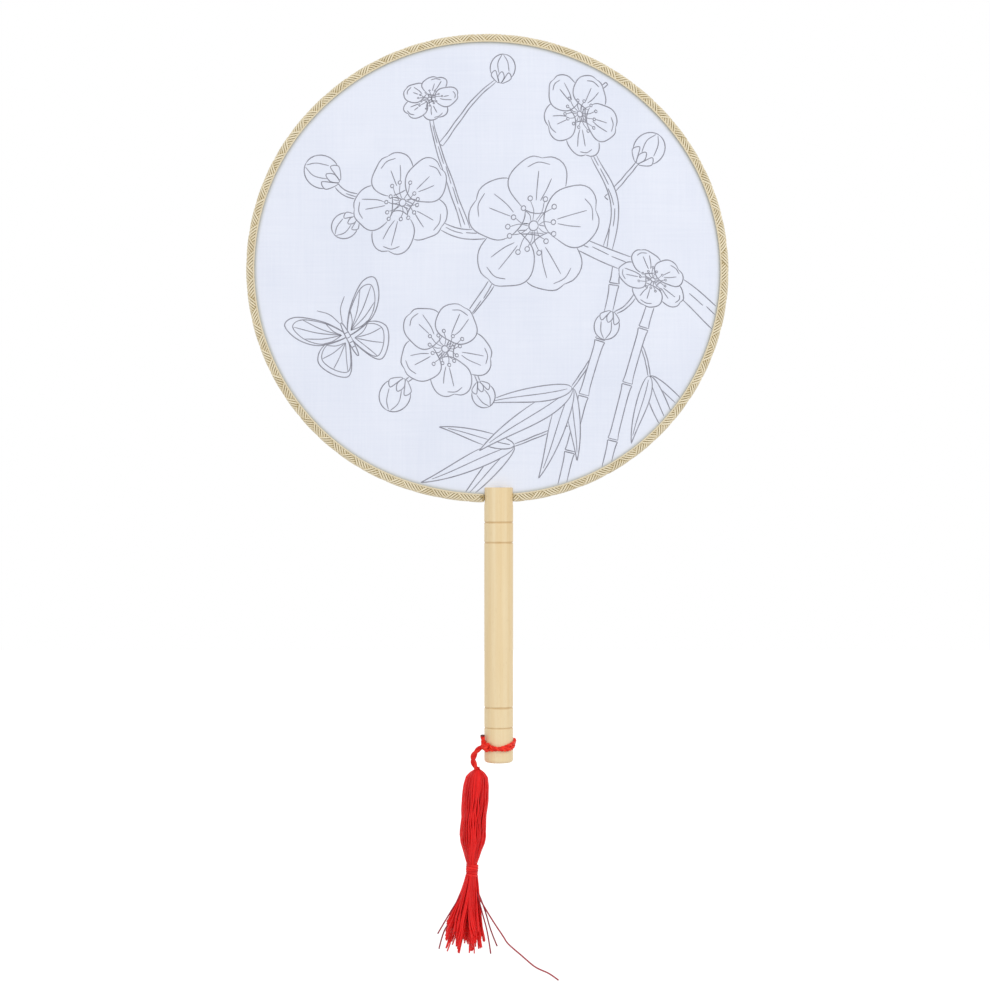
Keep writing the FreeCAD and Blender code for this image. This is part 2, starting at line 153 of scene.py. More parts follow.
@dataclass(frozen=True)
class Finish:
    """A surface of the object, made once as a material and shared."""

    name: str

    def material(self) -> bpy.types.Material:
        """Return the material, making it at first use."""
        made = bpy.data.materials.get(self.name)
        if made is None:
            made = bpy.data.materials.new(self.name)
            made.use_nodes = True
            made.node_tree.nodes.clear()
            node = partial(add_node, made.node_tree)
            node("OutputMaterial", {"Surface": self.paint(node)})
        return made

    def paint(self, node: AddNode) -> bpy.types.Node:
        """Build the nodes and return the surface shader."""
        raise NotImplementedError


@dataclass(frozen=True)
class TurnedBamboo(Finish):
    """Bamboo rod, turned and sanded: pale, with long straight fibres and scorched ring lines."""

    name: str = "bamboo_turned"
    pale: str = "#F1DCB2"
    fibre: str = "#E9CD9B"
    pore: str = "#D2B07A"
    scorch: str = "#C79F66"
    roughness: float = 0.46
    fibre_width: float = 0.9 * MM
    fibre_length: float = 42 * MM
    fibre_depth: float = 0.12 * MM
    pore_width: float = 0.9 / 3.2 * MM
    pore_length: float = 3.5 * MM
    # Two pairs of ring lines: the middle of a pair, up or down from the grip's middle, and how far each line
    # is from it.
    ring_middle: float = 48.05 * MM
    ring_reach: float = 5.25 * MM
    ring_width: float = 0.75 * MM
    ring_share: float = 0.55
    ring_waver: float = 0.5 * MM
    waver_length: float = 6.25 * MM

    def paint(self, node: AddNode) -> bpy.types.Node:
        """Streak the wood along its length, fleck it with pores and darken the four ring lines."""
        place = node("TexCoord").outputs["Object"]
        across = 1 / self.fibre_width
        fibres = node("Mapping", {"Vector": place, "Scale": (across, across, 1 / self.fibre_length)})
        streak = node("TexNoise", {"Vector": fibres, "Scale": 1.0, "Detail": 5.0})
        broad = node("TexNoise", {"Vector": fibres, "Scale": 0.22, "Detail": 2.0})
        both = node("Math", {0: streak, 1: 0.55, 2: broad}, operation="MULTIPLY_ADD")
        grain = node("MapRange", {"Value": both, "From Min": 0.55, "From Max": 1.0})
        across = 1 / self.pore_width
        pores = node("Mapping", {"Vector": place, "Scale": (across, across, 1 / self.pore_length)})
        speck = node("TexNoise", {"Vector": pores, "Scale": 1.0, "Detail": 1.0})
        fleck = node("MapRange", {"Value": speck, "From Min": 0.66, "From Max": 0.8, "To Max": 0.5})
        colour = linear(self.pale)
        for share, tint in ((grain, self.fibre), (fleck, self.pore), (self._ring(node, place), self.scorch)):
            colour = node("Mix", {0: share, MIX_A: colour, MIX_B: linear(tint)}, data_type="RGBA")
        bump = node("Bump", {"Height": streak, "Strength": 0.25, "Distance": self.fibre_depth})
        look = {"Base Color": colour, "Roughness": self.roughness, "IOR": 1.5, "Normal": bump}
        return node("BsdfPrincipled", look)

    def _ring(self, node: AddNode, place: bpy.types.NodeSocket) -> bpy.types.Node:
        """Give the share of scorch on the ring lines, which waver a little, as a hand-held tool leaves them.

        Args:
            node: Adds a node to the material.
            place: The object coordinates.

        Returns:
            The node that holds the share.
        """
        drift = node("TexNoise", {"Vector": place, "Scale": 1 / self.waver_length, "Detail": 1.0})
        waver = node("MapRange", {"Value": drift, "To Min": -self.ring_waver, "To Max": self.ring_waver})
        away = node("Math", {0: node("SeparateXYZ", {0: place}).outputs["Z"]}, operation="ABSOLUTE")
        for offset in (self.ring_middle, self.ring_reach):
            away = node("Math", {0: away, 1: offset}, operation="SUBTRACT")
            away = node("Math", {0: away}, operation="ABSOLUTE")
        away = node("Math", {0: away, 1: waver}, operation="ADD")
        fade = {"From Min": 0.2 * self.ring_width, "From Max": self.ring_width}
        fade |= {"To Min": self.ring_share, "To Max": 0.0}
        return node("MapRange", {"Value": away, **fade}, interpolation_type="SMOOTHSTEP")


@dataclass(frozen=True)
class DrawnSteel(Finish):
    """Drawn steel wire: grey metal with fine scratches, which vary its gloss."""

    name: str = "steel_wire_drawn"
    colour: str = "#BFC0C2"
    scratch: float = 0.2 * MM
    smooth: float = 0.25
    rough: float = 0.45

    def paint(self, node: AddNode) -> bpy.types.Node:
        """Vary the gloss with a fine scratch pattern."""
        place = node("TexCoord").outputs["Object"]
        marks = node("TexNoise", {"Vector": place, "Scale": 1 / self.scratch, "Detail": 2.0})
        gloss = node("MapRange", {"Value": marks, "To Min": self.smooth, "To Max": self.rough})
        look = {"Base Color": linear(self.colour), "Metallic": 1.0, "Roughness": gloss}
        return node("BsdfPrincipled", look)


@dataclass(frozen=True)
class StretchedSilk(Finish):
    """Thin plain-woven silk, stretched flat: cool white, with faint slubs along both threads.

    The real threads are about 0.15 mm apart, too fine for the render, so the slubs are drawn 1.1 mm wide.
    A painted shadow of the braid greys the cloth beside it.
    """

    PAINTED_SHADOW = "edge"

    name: str = "silk_plain_woven"
    light: str = "#EBEFFB"
    shade: str = "#E3E8F6"
    painted_braid_shadow: str = "#C8CBCA"
    roughness: float = 0.62
    sheen: float = 0.08
    slub_width: float = 1.1 * MM
    slub_length: float = 34 * MM
    slub_depth: float = 0.05 * MM

    def paint(self, node: AddNode) -> bpy.types.Node:
        """Cross two sets of slubs, lay a soft broad tone over them, and paint the braid's shadow along the
        edge.
        """
        place = node("TexCoord").outputs["Object"]
        thin, long = 1 / self.slub_width, 1 / self.slub_length
        slubs = []
        for scale in ((long, 1.0, thin), (thin, 1.0, long)):
            way = node("Mapping", {"Vector": place, "Scale": scale})
            slubs.append(node("TexNoise", {"Vector": way, "Scale": 1.0, "Detail": 3.0}))
        weave = node("Math", dict(enumerate(slubs)), operation="ADD")
        cloud = node("TexNoise", {"Vector": place, "Scale": 0.7 * long, "Detail": 2.0})
        tone = node("Math", {0: weave, 1: 0.5, 2: cloud}, operation="MULTIPLY_ADD")
        shaded = node("MapRange", {"Value": tone, "From Min": 0.75, "From Max": 1.25})
        # The edge attribute holds the braid's painted shadow on the cloth.
        edge = node("Attribute", attribute_name=self.PAINTED_SHADOW).outputs["Fac"]
        colour = linear(self.light)
        for share, tint in ((shaded, self.shade), (edge, self.painted_braid_shadow)):
            colour = node("Mix", {0: share, MIX_A: colour, MIX_B: linear(tint)}, data_type="RGBA")
        bump = node("Bump", {"Height": weave, "Strength": 0.2, "Distance": self.slub_depth})
        look = {"Base Color": colour, "Roughness": self.roughness, "IOR": 1.45, "Normal": bump}
        return node("BsdfPrincipled", look | {"Sheen Weight": self.sheen, "Sheen Roughness": 0.4})


@dataclass(frozen=True)
class PrintedInk(Finish):
    """Grey screen-print ink, soaked into the silk: matt, a little uneven along its line."""

    name: str = "ink_screen_printed"
    dark: str = "#8C8C97"
    thin: str = "#A9AAB6"
    patch: float = 3.5 * MM

    def paint(self, node: AddNode) -> bpy.types.Node:
        """Let the ink thin out in patches."""
        place = node("TexCoord").outputs["Object"]
        soak = node("TexNoise", {"Vector": place, "Scale": 1 / self.patch, "Detail": 3.0})
        share = node("MapRange", {"Value": soak, "From Min": 0.35, "From Max": 0.7})
        colour = node("Mix", {0: share, MIX_A: linear(self.dark), MIX_B: linear(self.thin)}, data_type="RGBA")
        return node("BsdfPrincipled", {"Base Color": colour, "Roughness": 0.8, "Specular IOR Level": 0.2})


@dataclass(frozen=True)
class Yarn(Finish):
    """Twisted textile yarn: each strand has its own tone, fine filaments and a soft sheen.

    Filaments of about 0.02 mm can't show, so they are drawn as 24 streaks round a strand.
    """

    TONE = "tone"
    THREAD = "thread"

    name: str
    light: str
    dark: str
    sheen: float = 0.2
    roughness: float = 0.5
    specular: float = 0.4
    streaks: float = 24.0
    streak_length: float = 3.0 * MM
    twist_pitch: float = 1.6 * MM
    twist_depth: float = 0.06 * MM

    def paint(self, node: AddNode) -> bpy.types.Node:
        """Mix the strand's tone with filament streaks, and twist two plies in the bump."""
        tone = node("Attribute", attribute_name=self.TONE).outputs["Fac"]
        thread = node("UVMap", uv_map=self.THREAD)
        lie = node("Mapping", {"Vector": thread, "Scale": (self.streaks, 1 / self.streak_length, 1.0)})
        filament = node("TexNoise", {"Vector": lie, "Scale": 1.0, "Detail": 2.0})
        mixed = node("Math", {0: filament, 1: 0.5, 2: tone}, operation="MULTIPLY_ADD")
        share = node("MapRange", {"Value": mixed, "From Min": 0.2, "From Max": 1.3})
        tones = {MIX_A: linear(self.dark), MIX_B: linear(self.light)}
        colour = node("Mix", {0: share, **tones}, data_type="RGBA")
        round_it, along = node("SeparateXYZ", {0: thread}).outputs[:2]
        turn = node("Math", {0: along, 1: 1 / self.twist_pitch, 2: round_it}, operation="MULTIPLY_ADD")
        angle = node("Math", {0: turn, 1: 2 * TURN}, operation="MULTIPLY")
        plies = node("Math", {0: angle}, operation="SINE")
        relief = node("Math", {0: filament, 1: 0.6, 2: plies}, operation="MULTIPLY_ADD")
        bump = node("Bump", {"Height": relief, "Strength": 0.5, "Distance": self.twist_depth})
        look = {"Base Color": colour, "Roughness": self.roughness, "IOR": 1.5, "Normal": bump}
        look |= {"Specular IOR Level": self.specular, "Sheen Weight": self.sheen, "Sheen Roughness": 0.35}
        return node("BsdfPrincipled", look)


@dataclass(frozen=True)
class LooseYarn(Finish):
    """A single viscose thread: a darker red, with a twist that is drawn by place, as it has no strand map."""

    name: str = "viscose_thread_loose"
    light: str = "#BE2A36"
    dark: str = "#8C1626"
    twist: float = 0.9 * MM
    twist_depth: float = 0.05 * MM

    def paint(self, node: AddNode) -> bpy.types.Node:
        """Vary the red along the thread."""
        place = node("TexCoord").outputs["Object"]
        grain = node("TexNoise", {"Vector": place, "Scale": 1 / self.twist, "Detail": 2.0})
        tones = {MIX_A: linear(self.dark), MIX_B: linear(self.light)}
        colour = node("Mix", {0: grain, **tones}, data_type="RGBA")
        bump = node("Bump", {"Height": grain, "Strength": 0.4, "Distance": self.twist_depth})
        look = {"Base Color": colour, "Roughness": 0.45, "Sheen Weight": 0.15, "Normal": bump}
        return node("BsdfPrincipled", look)


@dataclass(frozen=True)
class PaperSweep(Finish):
    """White studio paper: matt, and shown as white to the camera, while shadows still fall on it."""

    name: str = "paper_white"
    colour: str = "#E6E6E6"
    near_glow: float = 0.42
    far_glow: float = 0.62
    far: float = 0.9

    def paint(self, node: AddNode) -> bpy.types.Node:
        """Add a glow for the rays that show the background to a matt white, stronger far from the fan."""
        away = node("VectorMath", {0: node("TexCoord").outputs["Object"]}, operation="LENGTH")
        fade = {"From Min": 0.3 * self.far, "From Max": self.far}
        fade |= {"To Min": self.near_glow, "To Max": self.far_glow}
        level = node("MapRange", {"Value": away.outputs["Value"], **fade})
        strength = node("Math", {0: background_rays(node), 1: level}, operation="MULTIPLY")
        glow = node("Emission", {"Strength": strength})
        paper = node("BsdfDiffuse", {"Color": linear(self.colour)})
        return node("AddShader", {0: paper, 1: glow})


def unit(vectors: np.ndarray) -> np.ndarray:
    """Scale vectors to length one."""
    return vectors / np.maximum(np.linalg.norm(vectors, axis=-1, keepdims=True), 1e-12)


def directions(line: np.ndarray) -> np.ndarray:
    """Return a line's direction at each of its points."""
    return unit(np.gradient(line, axis=0))


def carried_normals(line: np.ndarray) -> np.ndarray:
    """Return normals that turn as little as they can along a line."""
    ways = directions(line)
    normal = np.cross(ways[0], np.eye(3)[np.argmin(np.abs(ways[0]))])
    normals = np.empty_like(line)
    for n, way in enumerate(ways):
        normal = unit(normal - way * normal.dot(way))
        normals[n] = normal
    return normals


def travel(line: np.ndarray) -> np.ndarray:
    """Return the length run at each point of a line."""
    return np.concatenate([[0.0], np.cumsum(np.linalg.norm(np.diff(line, axis=0), axis=1))])


def respaced(line: np.ndarray, step: float) -> np.ndarray:
    """Put evenly spaced points on a line.

    Args:
        line: Points, in two or three dimensions.
        step: The spacing aimed at.

    Returns:
        The new points, with both ends kept.
    """
    run = travel(line)
    places = np.linspace(0.0, run[-1], max(2, round(run[-1] / step) + 1))
    return np.stack([np.interp(places, run, line[:, axis]) for axis in range(line.shape[1])], axis=1)


def polar(reach: float | np.ndarray, bearing: float | np.ndarray) -> np.ndarray:
    """Return points of a plane by their distance from its origin and their bearing."""
    return np.stack([reach * np.cos(bearing), reach * np.sin(bearing)], axis=-1)


def upright(places: np.ndarray, y: float | np.ndarray) -> np.ndarray:
    """Return points of the face's plane, given as X and Z, with their Y between."""
    return np.stack(np.broadcast_arrays(places[:, 0], y, places[:, 1]), axis=1)


def ring_faces(rings: int, count: int, first: int = 0) -> list[list[int]]:
    """List the faces between closed rings of corners.

    Args:
        rings: How many rings there are.
        count: How many corners a ring has.
        first: The number of the first corner.

    Returns:
        The four corners of each face, ring by ring.
    """
    low = first + np.arange(rings * count).reshape(rings, count)
    after = np.roll(low, -1, axis=1)
    return np.stack([low[:-1], low[1:], after[1:], after[:-1]], axis=-1).reshape(-1, 4).tolist()


def new_mesh(name: str, corners: np.ndarray, faces: list, kind: str, values: np.ndarray) -> bpy.types.Mesh:
    """Make a mesh that carries a value at each corner for its finish to read.

    Args:
        name: The mesh's name.
        corners: Its corners.
        faces: The corners' numbers for each face.
        kind: The name of the values.
        values: The values.

    Returns:
        The mesh.
    """
    mesh = bpy.data.meshes.new(name)
    mesh.from_pydata(corners.tolist(), [], faces)
    mesh.attributes.new(kind, "FLOAT", "POINT").data.foreach_set("value", values)
    return mesh


def smooth_curve(name: str, points: Sequence, resolution: int = 12) -> bpy.types.Curve:
    """Make a smooth open spline that has these points as its control points.

    Args:
        name: The curve's name.
        points: The control points.
        resolution: Steps between control points.

    Returns:
        A curve with one spline of the third order.
    """
    curve = bpy.data.curves.new(name, "CURVE")
    curve.dimensions = "3D"
    curve.resolution_u = resolution
    spline = curve.splines.new("NURBS")
    spline.points.add(len(points) - 1)
    for control, place in zip(spline.points, points):
        control.co = (*place, 1.0)
    spline.order_u = 3
    spline.use_endpoint_u = True
    return curve


def smooth_line(points: Sequence) -> np.ndarray:
    """Read the points of the smooth spline that has these control points."""
    curve = smooth_curve("route", points)
    carrier = bpy.data.objects.new("route", curve)
    mesh = bpy.data.meshes.new_from_object(carrier)
    line = np.array([corner.co[:] for corner in mesh.vertices])
    bpy.data.objects.remove(carrier)
    bpy.data.curves.remove(curve)
    bpy.data.meshes.remove(mesh)
    return line


class StrandMesh:
    """Gathers tubes into one mesh of closed shells, with a tone and thread coordinates for each."""

    def __init__(self) -> None:
        """Start with no tubes."""
        self.corners: list[np.ndarray] = []
        self.tones: list[np.ndarray] = []
        self.faces: list[list[int]] = []
        self.threads: list[tuple[float, float]] = []
        self.count = 0

    def add_tube(
        self,
        line: np.ndarray,
        width: float | np.ndarray,
        thickness: float | np.ndarray | None = None,
        normals: np.ndarray | None = None,
        tone: float | np.ndarray = 0.5,
        sides: int = 6,
    ) -> None:
        """Add a closed tube along a line.

        Args:
            line: Points of its middle.
            width: Its width across the normals, in all or at each point.
            thickness: Its size along the normals, or nothing for a round tube.
            normals: Which way its thickness stands, or nothing for any way.
            tone: How light this tube is, from 0 to 1, in all or at each point.
            sides: Faces round the tube. Four give a flat strip.
        """
        normals = carried_normals(line) if normals is None else normals
        ways = directions(line)
        normals = unit(normals - ways * (normals * ways).sum(axis=1, keepdims=True))
        across = np.cross(ways, normals)
        sizes = (width, width if thickness is None else thickness)
        half, tall = [np.broadcast_to(np.asarray(size) / 2, len(line))[:, None, None] for size in sizes]
        turn = (np.arange(sides)[None, :, None] + 0.5) * TURN / sides
        stretch = math.sqrt(2) if sides == 4 else 1.0
        ring = across[:, None, :] * np.cos(turn) * half * stretch
        ring = ring + normals[:, None, :] * np.sin(turn) * tall * stretch
        self.corners.append((line[:, None, :] + ring).reshape(-1, 3))
        self.tones.append(np.repeat(np.broadcast_to(tone, len(line)), sides))
        run = travel(line)
        first = self.count
        self.faces += ring_faces(len(line), sides, first)
        for low, high in zip(run, run[1:]):
            for k in range(sides):
                left, right = k / sides, (k + 1) / sides
                self.threads += [(left, low), (left, high), (right, high), (right, low)]
        self.count += len(line) * sides
        self.faces.append([first + k for k in range(sides)])
        self.faces.append([self.count - 1 - k for k in range(sides)])
        self.threads += [(0.5, run[0])] * sides + [(0.5, run[-1])] * sides

    def add_cord(
        self,
        line: np.ndarray,
        diameter: float,
        plies: int,
        pitch: float,
        tone: float = 0.5,
        taper: float = 0.0,
        start: float = 0.0,
        squeeze: float = 0.3,
        contrast: float = 0.4,
    ) -> None:
        """Add a twisted cord, with each ply as a tube of its own.

        Args:
            line: Points of the cord's middle.
            diameter: The cord's size over its plies.
            plies: How many plies are twisted together.
            pitch: Length of one full twist.
            tone: How light the cord is.
            taper: How much thinner its ends are, as a share.
            start: Angle of the first ply at the start, in radians.
            squeeze: How far the plies are pressed into each other, as a share.
            contrast: How much lighter each ply is than the one before it.
        """
        line = respaced(line, pitch / 14)
        normals = carried_normals(line)
        across = np.cross(directions(line), normals)
        run = travel(line)
        swell = 1 - taper * np.abs(2 * run / run[-1] - 1) ** 2
        packing = math.sin(math.pi / plies) / (1 + math.sin(math.pi / plies))
        radius = diameter / 2 * packing * (1 + squeeze)
        for ply in range(plies):
            angle = start + TURN * (run / pitch + ply / plies)
            arm = (diameter / 2 - radius) * swell
            offset = normals * (np.cos(angle) * arm)[:, None] + across * (np.sin(angle) * arm)[:, None]
            lighter = contrast * (ply - (plies - 1) / 2)
            self.add_tube(line + offset, 2 * radius * swell, tone=tone + lighter, sides=8)

    def mesh(self, name: str) -> bpy.types.Mesh:
        """Write the tubes into a new mesh.

        Args:
            name: The mesh's name.

        Returns:
            The mesh, shaded smooth.
        """
        tones = np.concatenate(self.tones)
        mesh = new_mesh(name, np.concatenate(self.corners), self.faces, Yarn.TONE, tones)
        threads = np.array(self.threads, np.float32).ravel()
        mesh.uv_layers.new(name=Yarn.THREAD).data.foreach_set("uv", threads)
        mesh.shade_smooth()
        return mesh


def add_piece(data: bpy.types.ID, finish: Finish, body: Body, slot: str, *nodes: str) -> bpy.types.Object:
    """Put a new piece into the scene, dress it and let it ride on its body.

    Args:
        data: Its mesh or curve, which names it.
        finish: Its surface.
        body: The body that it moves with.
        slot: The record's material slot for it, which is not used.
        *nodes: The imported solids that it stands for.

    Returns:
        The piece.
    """
    piece = bpy.data.objects.new(data.name, data)
    bpy.context.scene.collection.objects.link(piece)
    data.materials.append(finish.material())
    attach(piece, body.value)
    if nodes:
        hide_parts(*nodes)
    LOG.info("%s rides on %s", data.name, body.value)
    return piece


def box_middle(node: str) -> np.ndarray:
    """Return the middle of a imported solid's box."""
    low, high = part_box(node)
    return np.array((low + high) / 2)


@dataclass
class RimLine:
    """The head's outline, read from the silk's edge and smoothed by a few waves.

    It starts at the bottom and runs up the right side, seen from the front.
    """

    node: str = "front_silk"
    waves: int = 12
    stations: int = 3000

    def __post_init__(self) -> None:
        """Fit the waves and measure the line."""
        middle = box_middle(self.node)
        self.centre = middle[[0, 2]]
        edge = np.array([corner.co[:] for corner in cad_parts[self.node].data.vertices])[:, [0, 2]]
        edge = edge - self.centre
        bearings = np.arctan2(edge[:, 1], edge[:, 0])
        self.weights = np.linalg.lstsq(self._terms(bearings), np.hypot(*edge.T), rcond=None)[0]
        turn = np.linspace(-0.5 * math.pi, 1.5 * math.pi, self.stations)
        self.points = self.centre + polar(self.reach(turn), turn)
        ways = directions(self.points)
        self.outward = np.stack([ways[:, 1], -ways[:, 0]], axis=1)
        self.run = travel(self.points)

    def _terms(self, bearings: np.ndarray) -> np.ndarray:
        """Return the waves' values at some bearings."""
        order = np.arange(1, self.waves + 1)
        angles = bearings[:, None] * order
        return np.concatenate([np.ones((len(bearings), 1)), np.cos(angles), np.sin(angles)], axis=1)

    def reach(self, bearings: np.ndarray) -> np.ndarray:
        """Return the outline's distance from its centre at some bearings."""
        return self._terms(np.atleast_1d(bearings)) @ self.weights

    def at(self, run: np.ndarray, out: float | np.ndarray) -> tuple[np.ndarray, np.ndarray]:
        """Find points beside the outline.

        Args:
            run: Lengths along the outline.
            out: Distance outward from it, in all or at each point.

        Returns:
            The points and the outward directions, as X and Z.
        """
        place, outward = [
            np.stack([np.interp(run, self.run, column) for column in values.T], axis=1)
            for values in (self.points, self.outward)
        ]
        outward = unit(outward)
        return place + outward * np.asarray(out)[..., None], outward

    def crossing(self, x: float) -> float:
        """Return how far from the bottom the line reaches a given X, to the right or to the left."""
        bottom = self.points[:, 1] < self.centre[1]
        side = bottom & ((self.run < self.run[-1] / 2) == (x > 0))
        order = np.argsort(self.points[side, 0])
        return float(np.interp(x, self.points[side, 0][order], self.run[side][order]))


@dataclass
class SilkFace:
    """One silk face: a thin cloth, drawn tight over the hoop, with slight puckers at its edge."""

    side: Side
    rim: RimLine
    rings: int = 40
    # Extra rings of corners near the edge, by their distance from it in millimetres, for the braid's painted
    # shadow.
    edge_rings: tuple = (5.6, 4.9, 4.4, 4.0, 3.6, 3.2, 1.6, 0.0)
    # How far the last of the even rings is from the first of these, in millimetres.
    edge_gap: float = 0.8
    shadow_reach: float = 3.3 * MM
    shadow_fade: float = 1.1 * MM
    sectors: int = 360
    sway: float = 0.1 * MM
    sway_length: float = 90 * MM
    pucker: float = 0.04 * MM
    pucker_fade: float = 7 * MM
    puckers: int = 52

    def __post_init__(self) -> None:
        """Read where the cloth lies and how thick it is."""
        self.node = "front_silk" if self.side is Side.FRONT else "back_silk"
        low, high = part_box(self.node)
        self.thickness = high.y - low.y
        self.outer = low.y if self.side is Side.FRONT else high.y

    def surface(self, places: np.ndarray) -> np.ndarray:
        """Give the Y of the cloth's outer side.

        Args:
            places: Points in the face's plane, as X and Z.

        Returns:
            The Y at each point.
        """
        x, z = (places - self.rim.centre).T
        bearing = np.arctan2(z, x)
        inset = np.maximum(self.rim.reach(bearing) - np.hypot(x, z), 0.0)
        wave = TURN / self.sway_length
        broad = np.sin(wave * (0.9 * x + 0.4 * z) + 1.0) + np.sin(wave * (0.8 * z - 0.3 * x) + 2.1)
        edge = np.sin(self.puckers * bearing + 1.3 * np.sin(5 * bearing))
        edge = edge * np.exp(-inset / self.pucker_fade)
        taut = 1 - np.exp(-inset / (3 * self.pucker_fade))
        return self.outer + self.sway / 2 * broad * taut + self.pucker * edge

    def build(self) -> bpy.types.Object:
        turn = np.arange(self.sectors) * TURN / self.sectors
        reach = self.rim.reach(turn)
        inner = reach - (self.edge_rings[0] + self.edge_gap) * MM
        reaches = [inner * share for share in np.linspace(0, 1, self.rings + 1)[1:] ** 0.8]
        reaches += [reach - inset * MM for inset in self.edge_rings]
        rings = [polar(far, turn) for far in reaches]
        places = np.concatenate([np.zeros((1, 2)), *rings]) + self.rim.centre
        insets = np.concatenate([reach[:1], *[reach - far for far in reaches]])
        outer = self.surface(places)
        layers = [outer, outer - self.side.value * self.thickness]
        corners = np.concatenate([upright(places, y) for y in layers])
        # Painted shadow of the braid: full under it, fading over about a millimetre inward.
        grey = np.exp(-((np.maximum(insets - self.shadow_reach, 0.0) / self.shadow_fade) ** 2))
        faces = self._faces(len(places))
        mesh = new_mesh(f"{self.node}_cloth", corners, faces, StretchedSilk.PAINTED_SHADOW, np.tile(grey, 2))
        mesh.shade_smooth()
        piece = add_piece(mesh, StretchedSilk(), Body.FAN, "face_silk", self.node)
        low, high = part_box(self.node)
        return piece

    def _faces(self, layer: int) -> list[list[int]]:
        """List the faces of both sides and of the edge.

        Args:
            layer: How many corners one side has.

        Returns:
            The faces, all looking outward.
        """
        count = self.sectors
        rings = (layer - 1) // count
        outer = [[0, 1 + k, 1 + (k + 1) % count] for k in range(count)] + ring_faces(rings, count, 1)
        inner = [[corner + layer for corner in reversed(face)] for face in outer]
        last = range(layer - count, layer)
        edge = [[k, k + layer, after + layer, after] for k, after in zip(last, [*last[1:], last[0]])]
        faces = outer + inner + edge
        if self.side is Side.BACK:
            faces = [face[::-1] for face in faces]
        return faces


def inside(points: np.ndarray, edge: np.ndarray) -> np.ndarray:
    """Tell which points lie in a closed outline, which is given by its edge."""
    x, y = points.T
    x0, y0 = edge.T
    x1, y1 = np.roll(edge, -1, axis=0).T
    spans = (y0 > y[:, None]) != (y1 > y[:, None])
    meet = x0 + (y[:, None] - y0) * (x1 - x0) / np.where(y1 == y0, 1.0, y1 - y0)
    return (spans & (x[:, None] < meet)).sum(axis=1) % 2 == 1


def through(points: Sequence, closed: bool = False, steps: int = 10) -> np.ndarray:
    """Draw a rounded line through points.

    Args:
        points: The points to pass, in two dimensions.
        closed: Whether the line returns to its first point.
        steps: How many parts each stretch gets.

    Returns:
        The line's points.
    """
    given = np.asarray(points, float)
    if closed:
        padded = np.concatenate([given[-1:], given, given[:2]])
    else:
        padded = np.concatenate([2 * given[:1] - given[1:2], given, 2 * given[-1:] - given[-2:-1]])
    share = np.linspace(0, 1, steps, endpoint=False)[:, None]
    parts = []
    for a, b, c, d in zip(padded, padded[1:], padded[2:], padded[3:]):
        bend = 2 * a - 5 * b + 4 * c - d
        twist = -a + 3 * b - 3 * c + d
        parts.append(b + 0.5 * share * (c - a) + 0.5 * share ** 2 * bend + 0.5 * share ** 3 * twist)
    line = np.concatenate(parts)
    return line if closed else np.concatenate([line, given[-1:]])


def turned(points: np.ndarray, angle: float) -> np.ndarray:
    """Turn points of the drawing about its origin, by radians."""
    c, s = math.cos(angle), math.sin(angle)
    return points @ np.array([[c, s], [-s, c]])


def rounds(count: int) -> np.ndarray:
    """Return evenly spaced angles round a circle."""
    return np.arange(count) * TURN / count


def outline(edges: Sequence[np.ndarray]) -> np.ndarray:
    """Join two edges that run side by side into one closed outline."""
    return np.concatenate([edges[0], edges[1][::-1]])


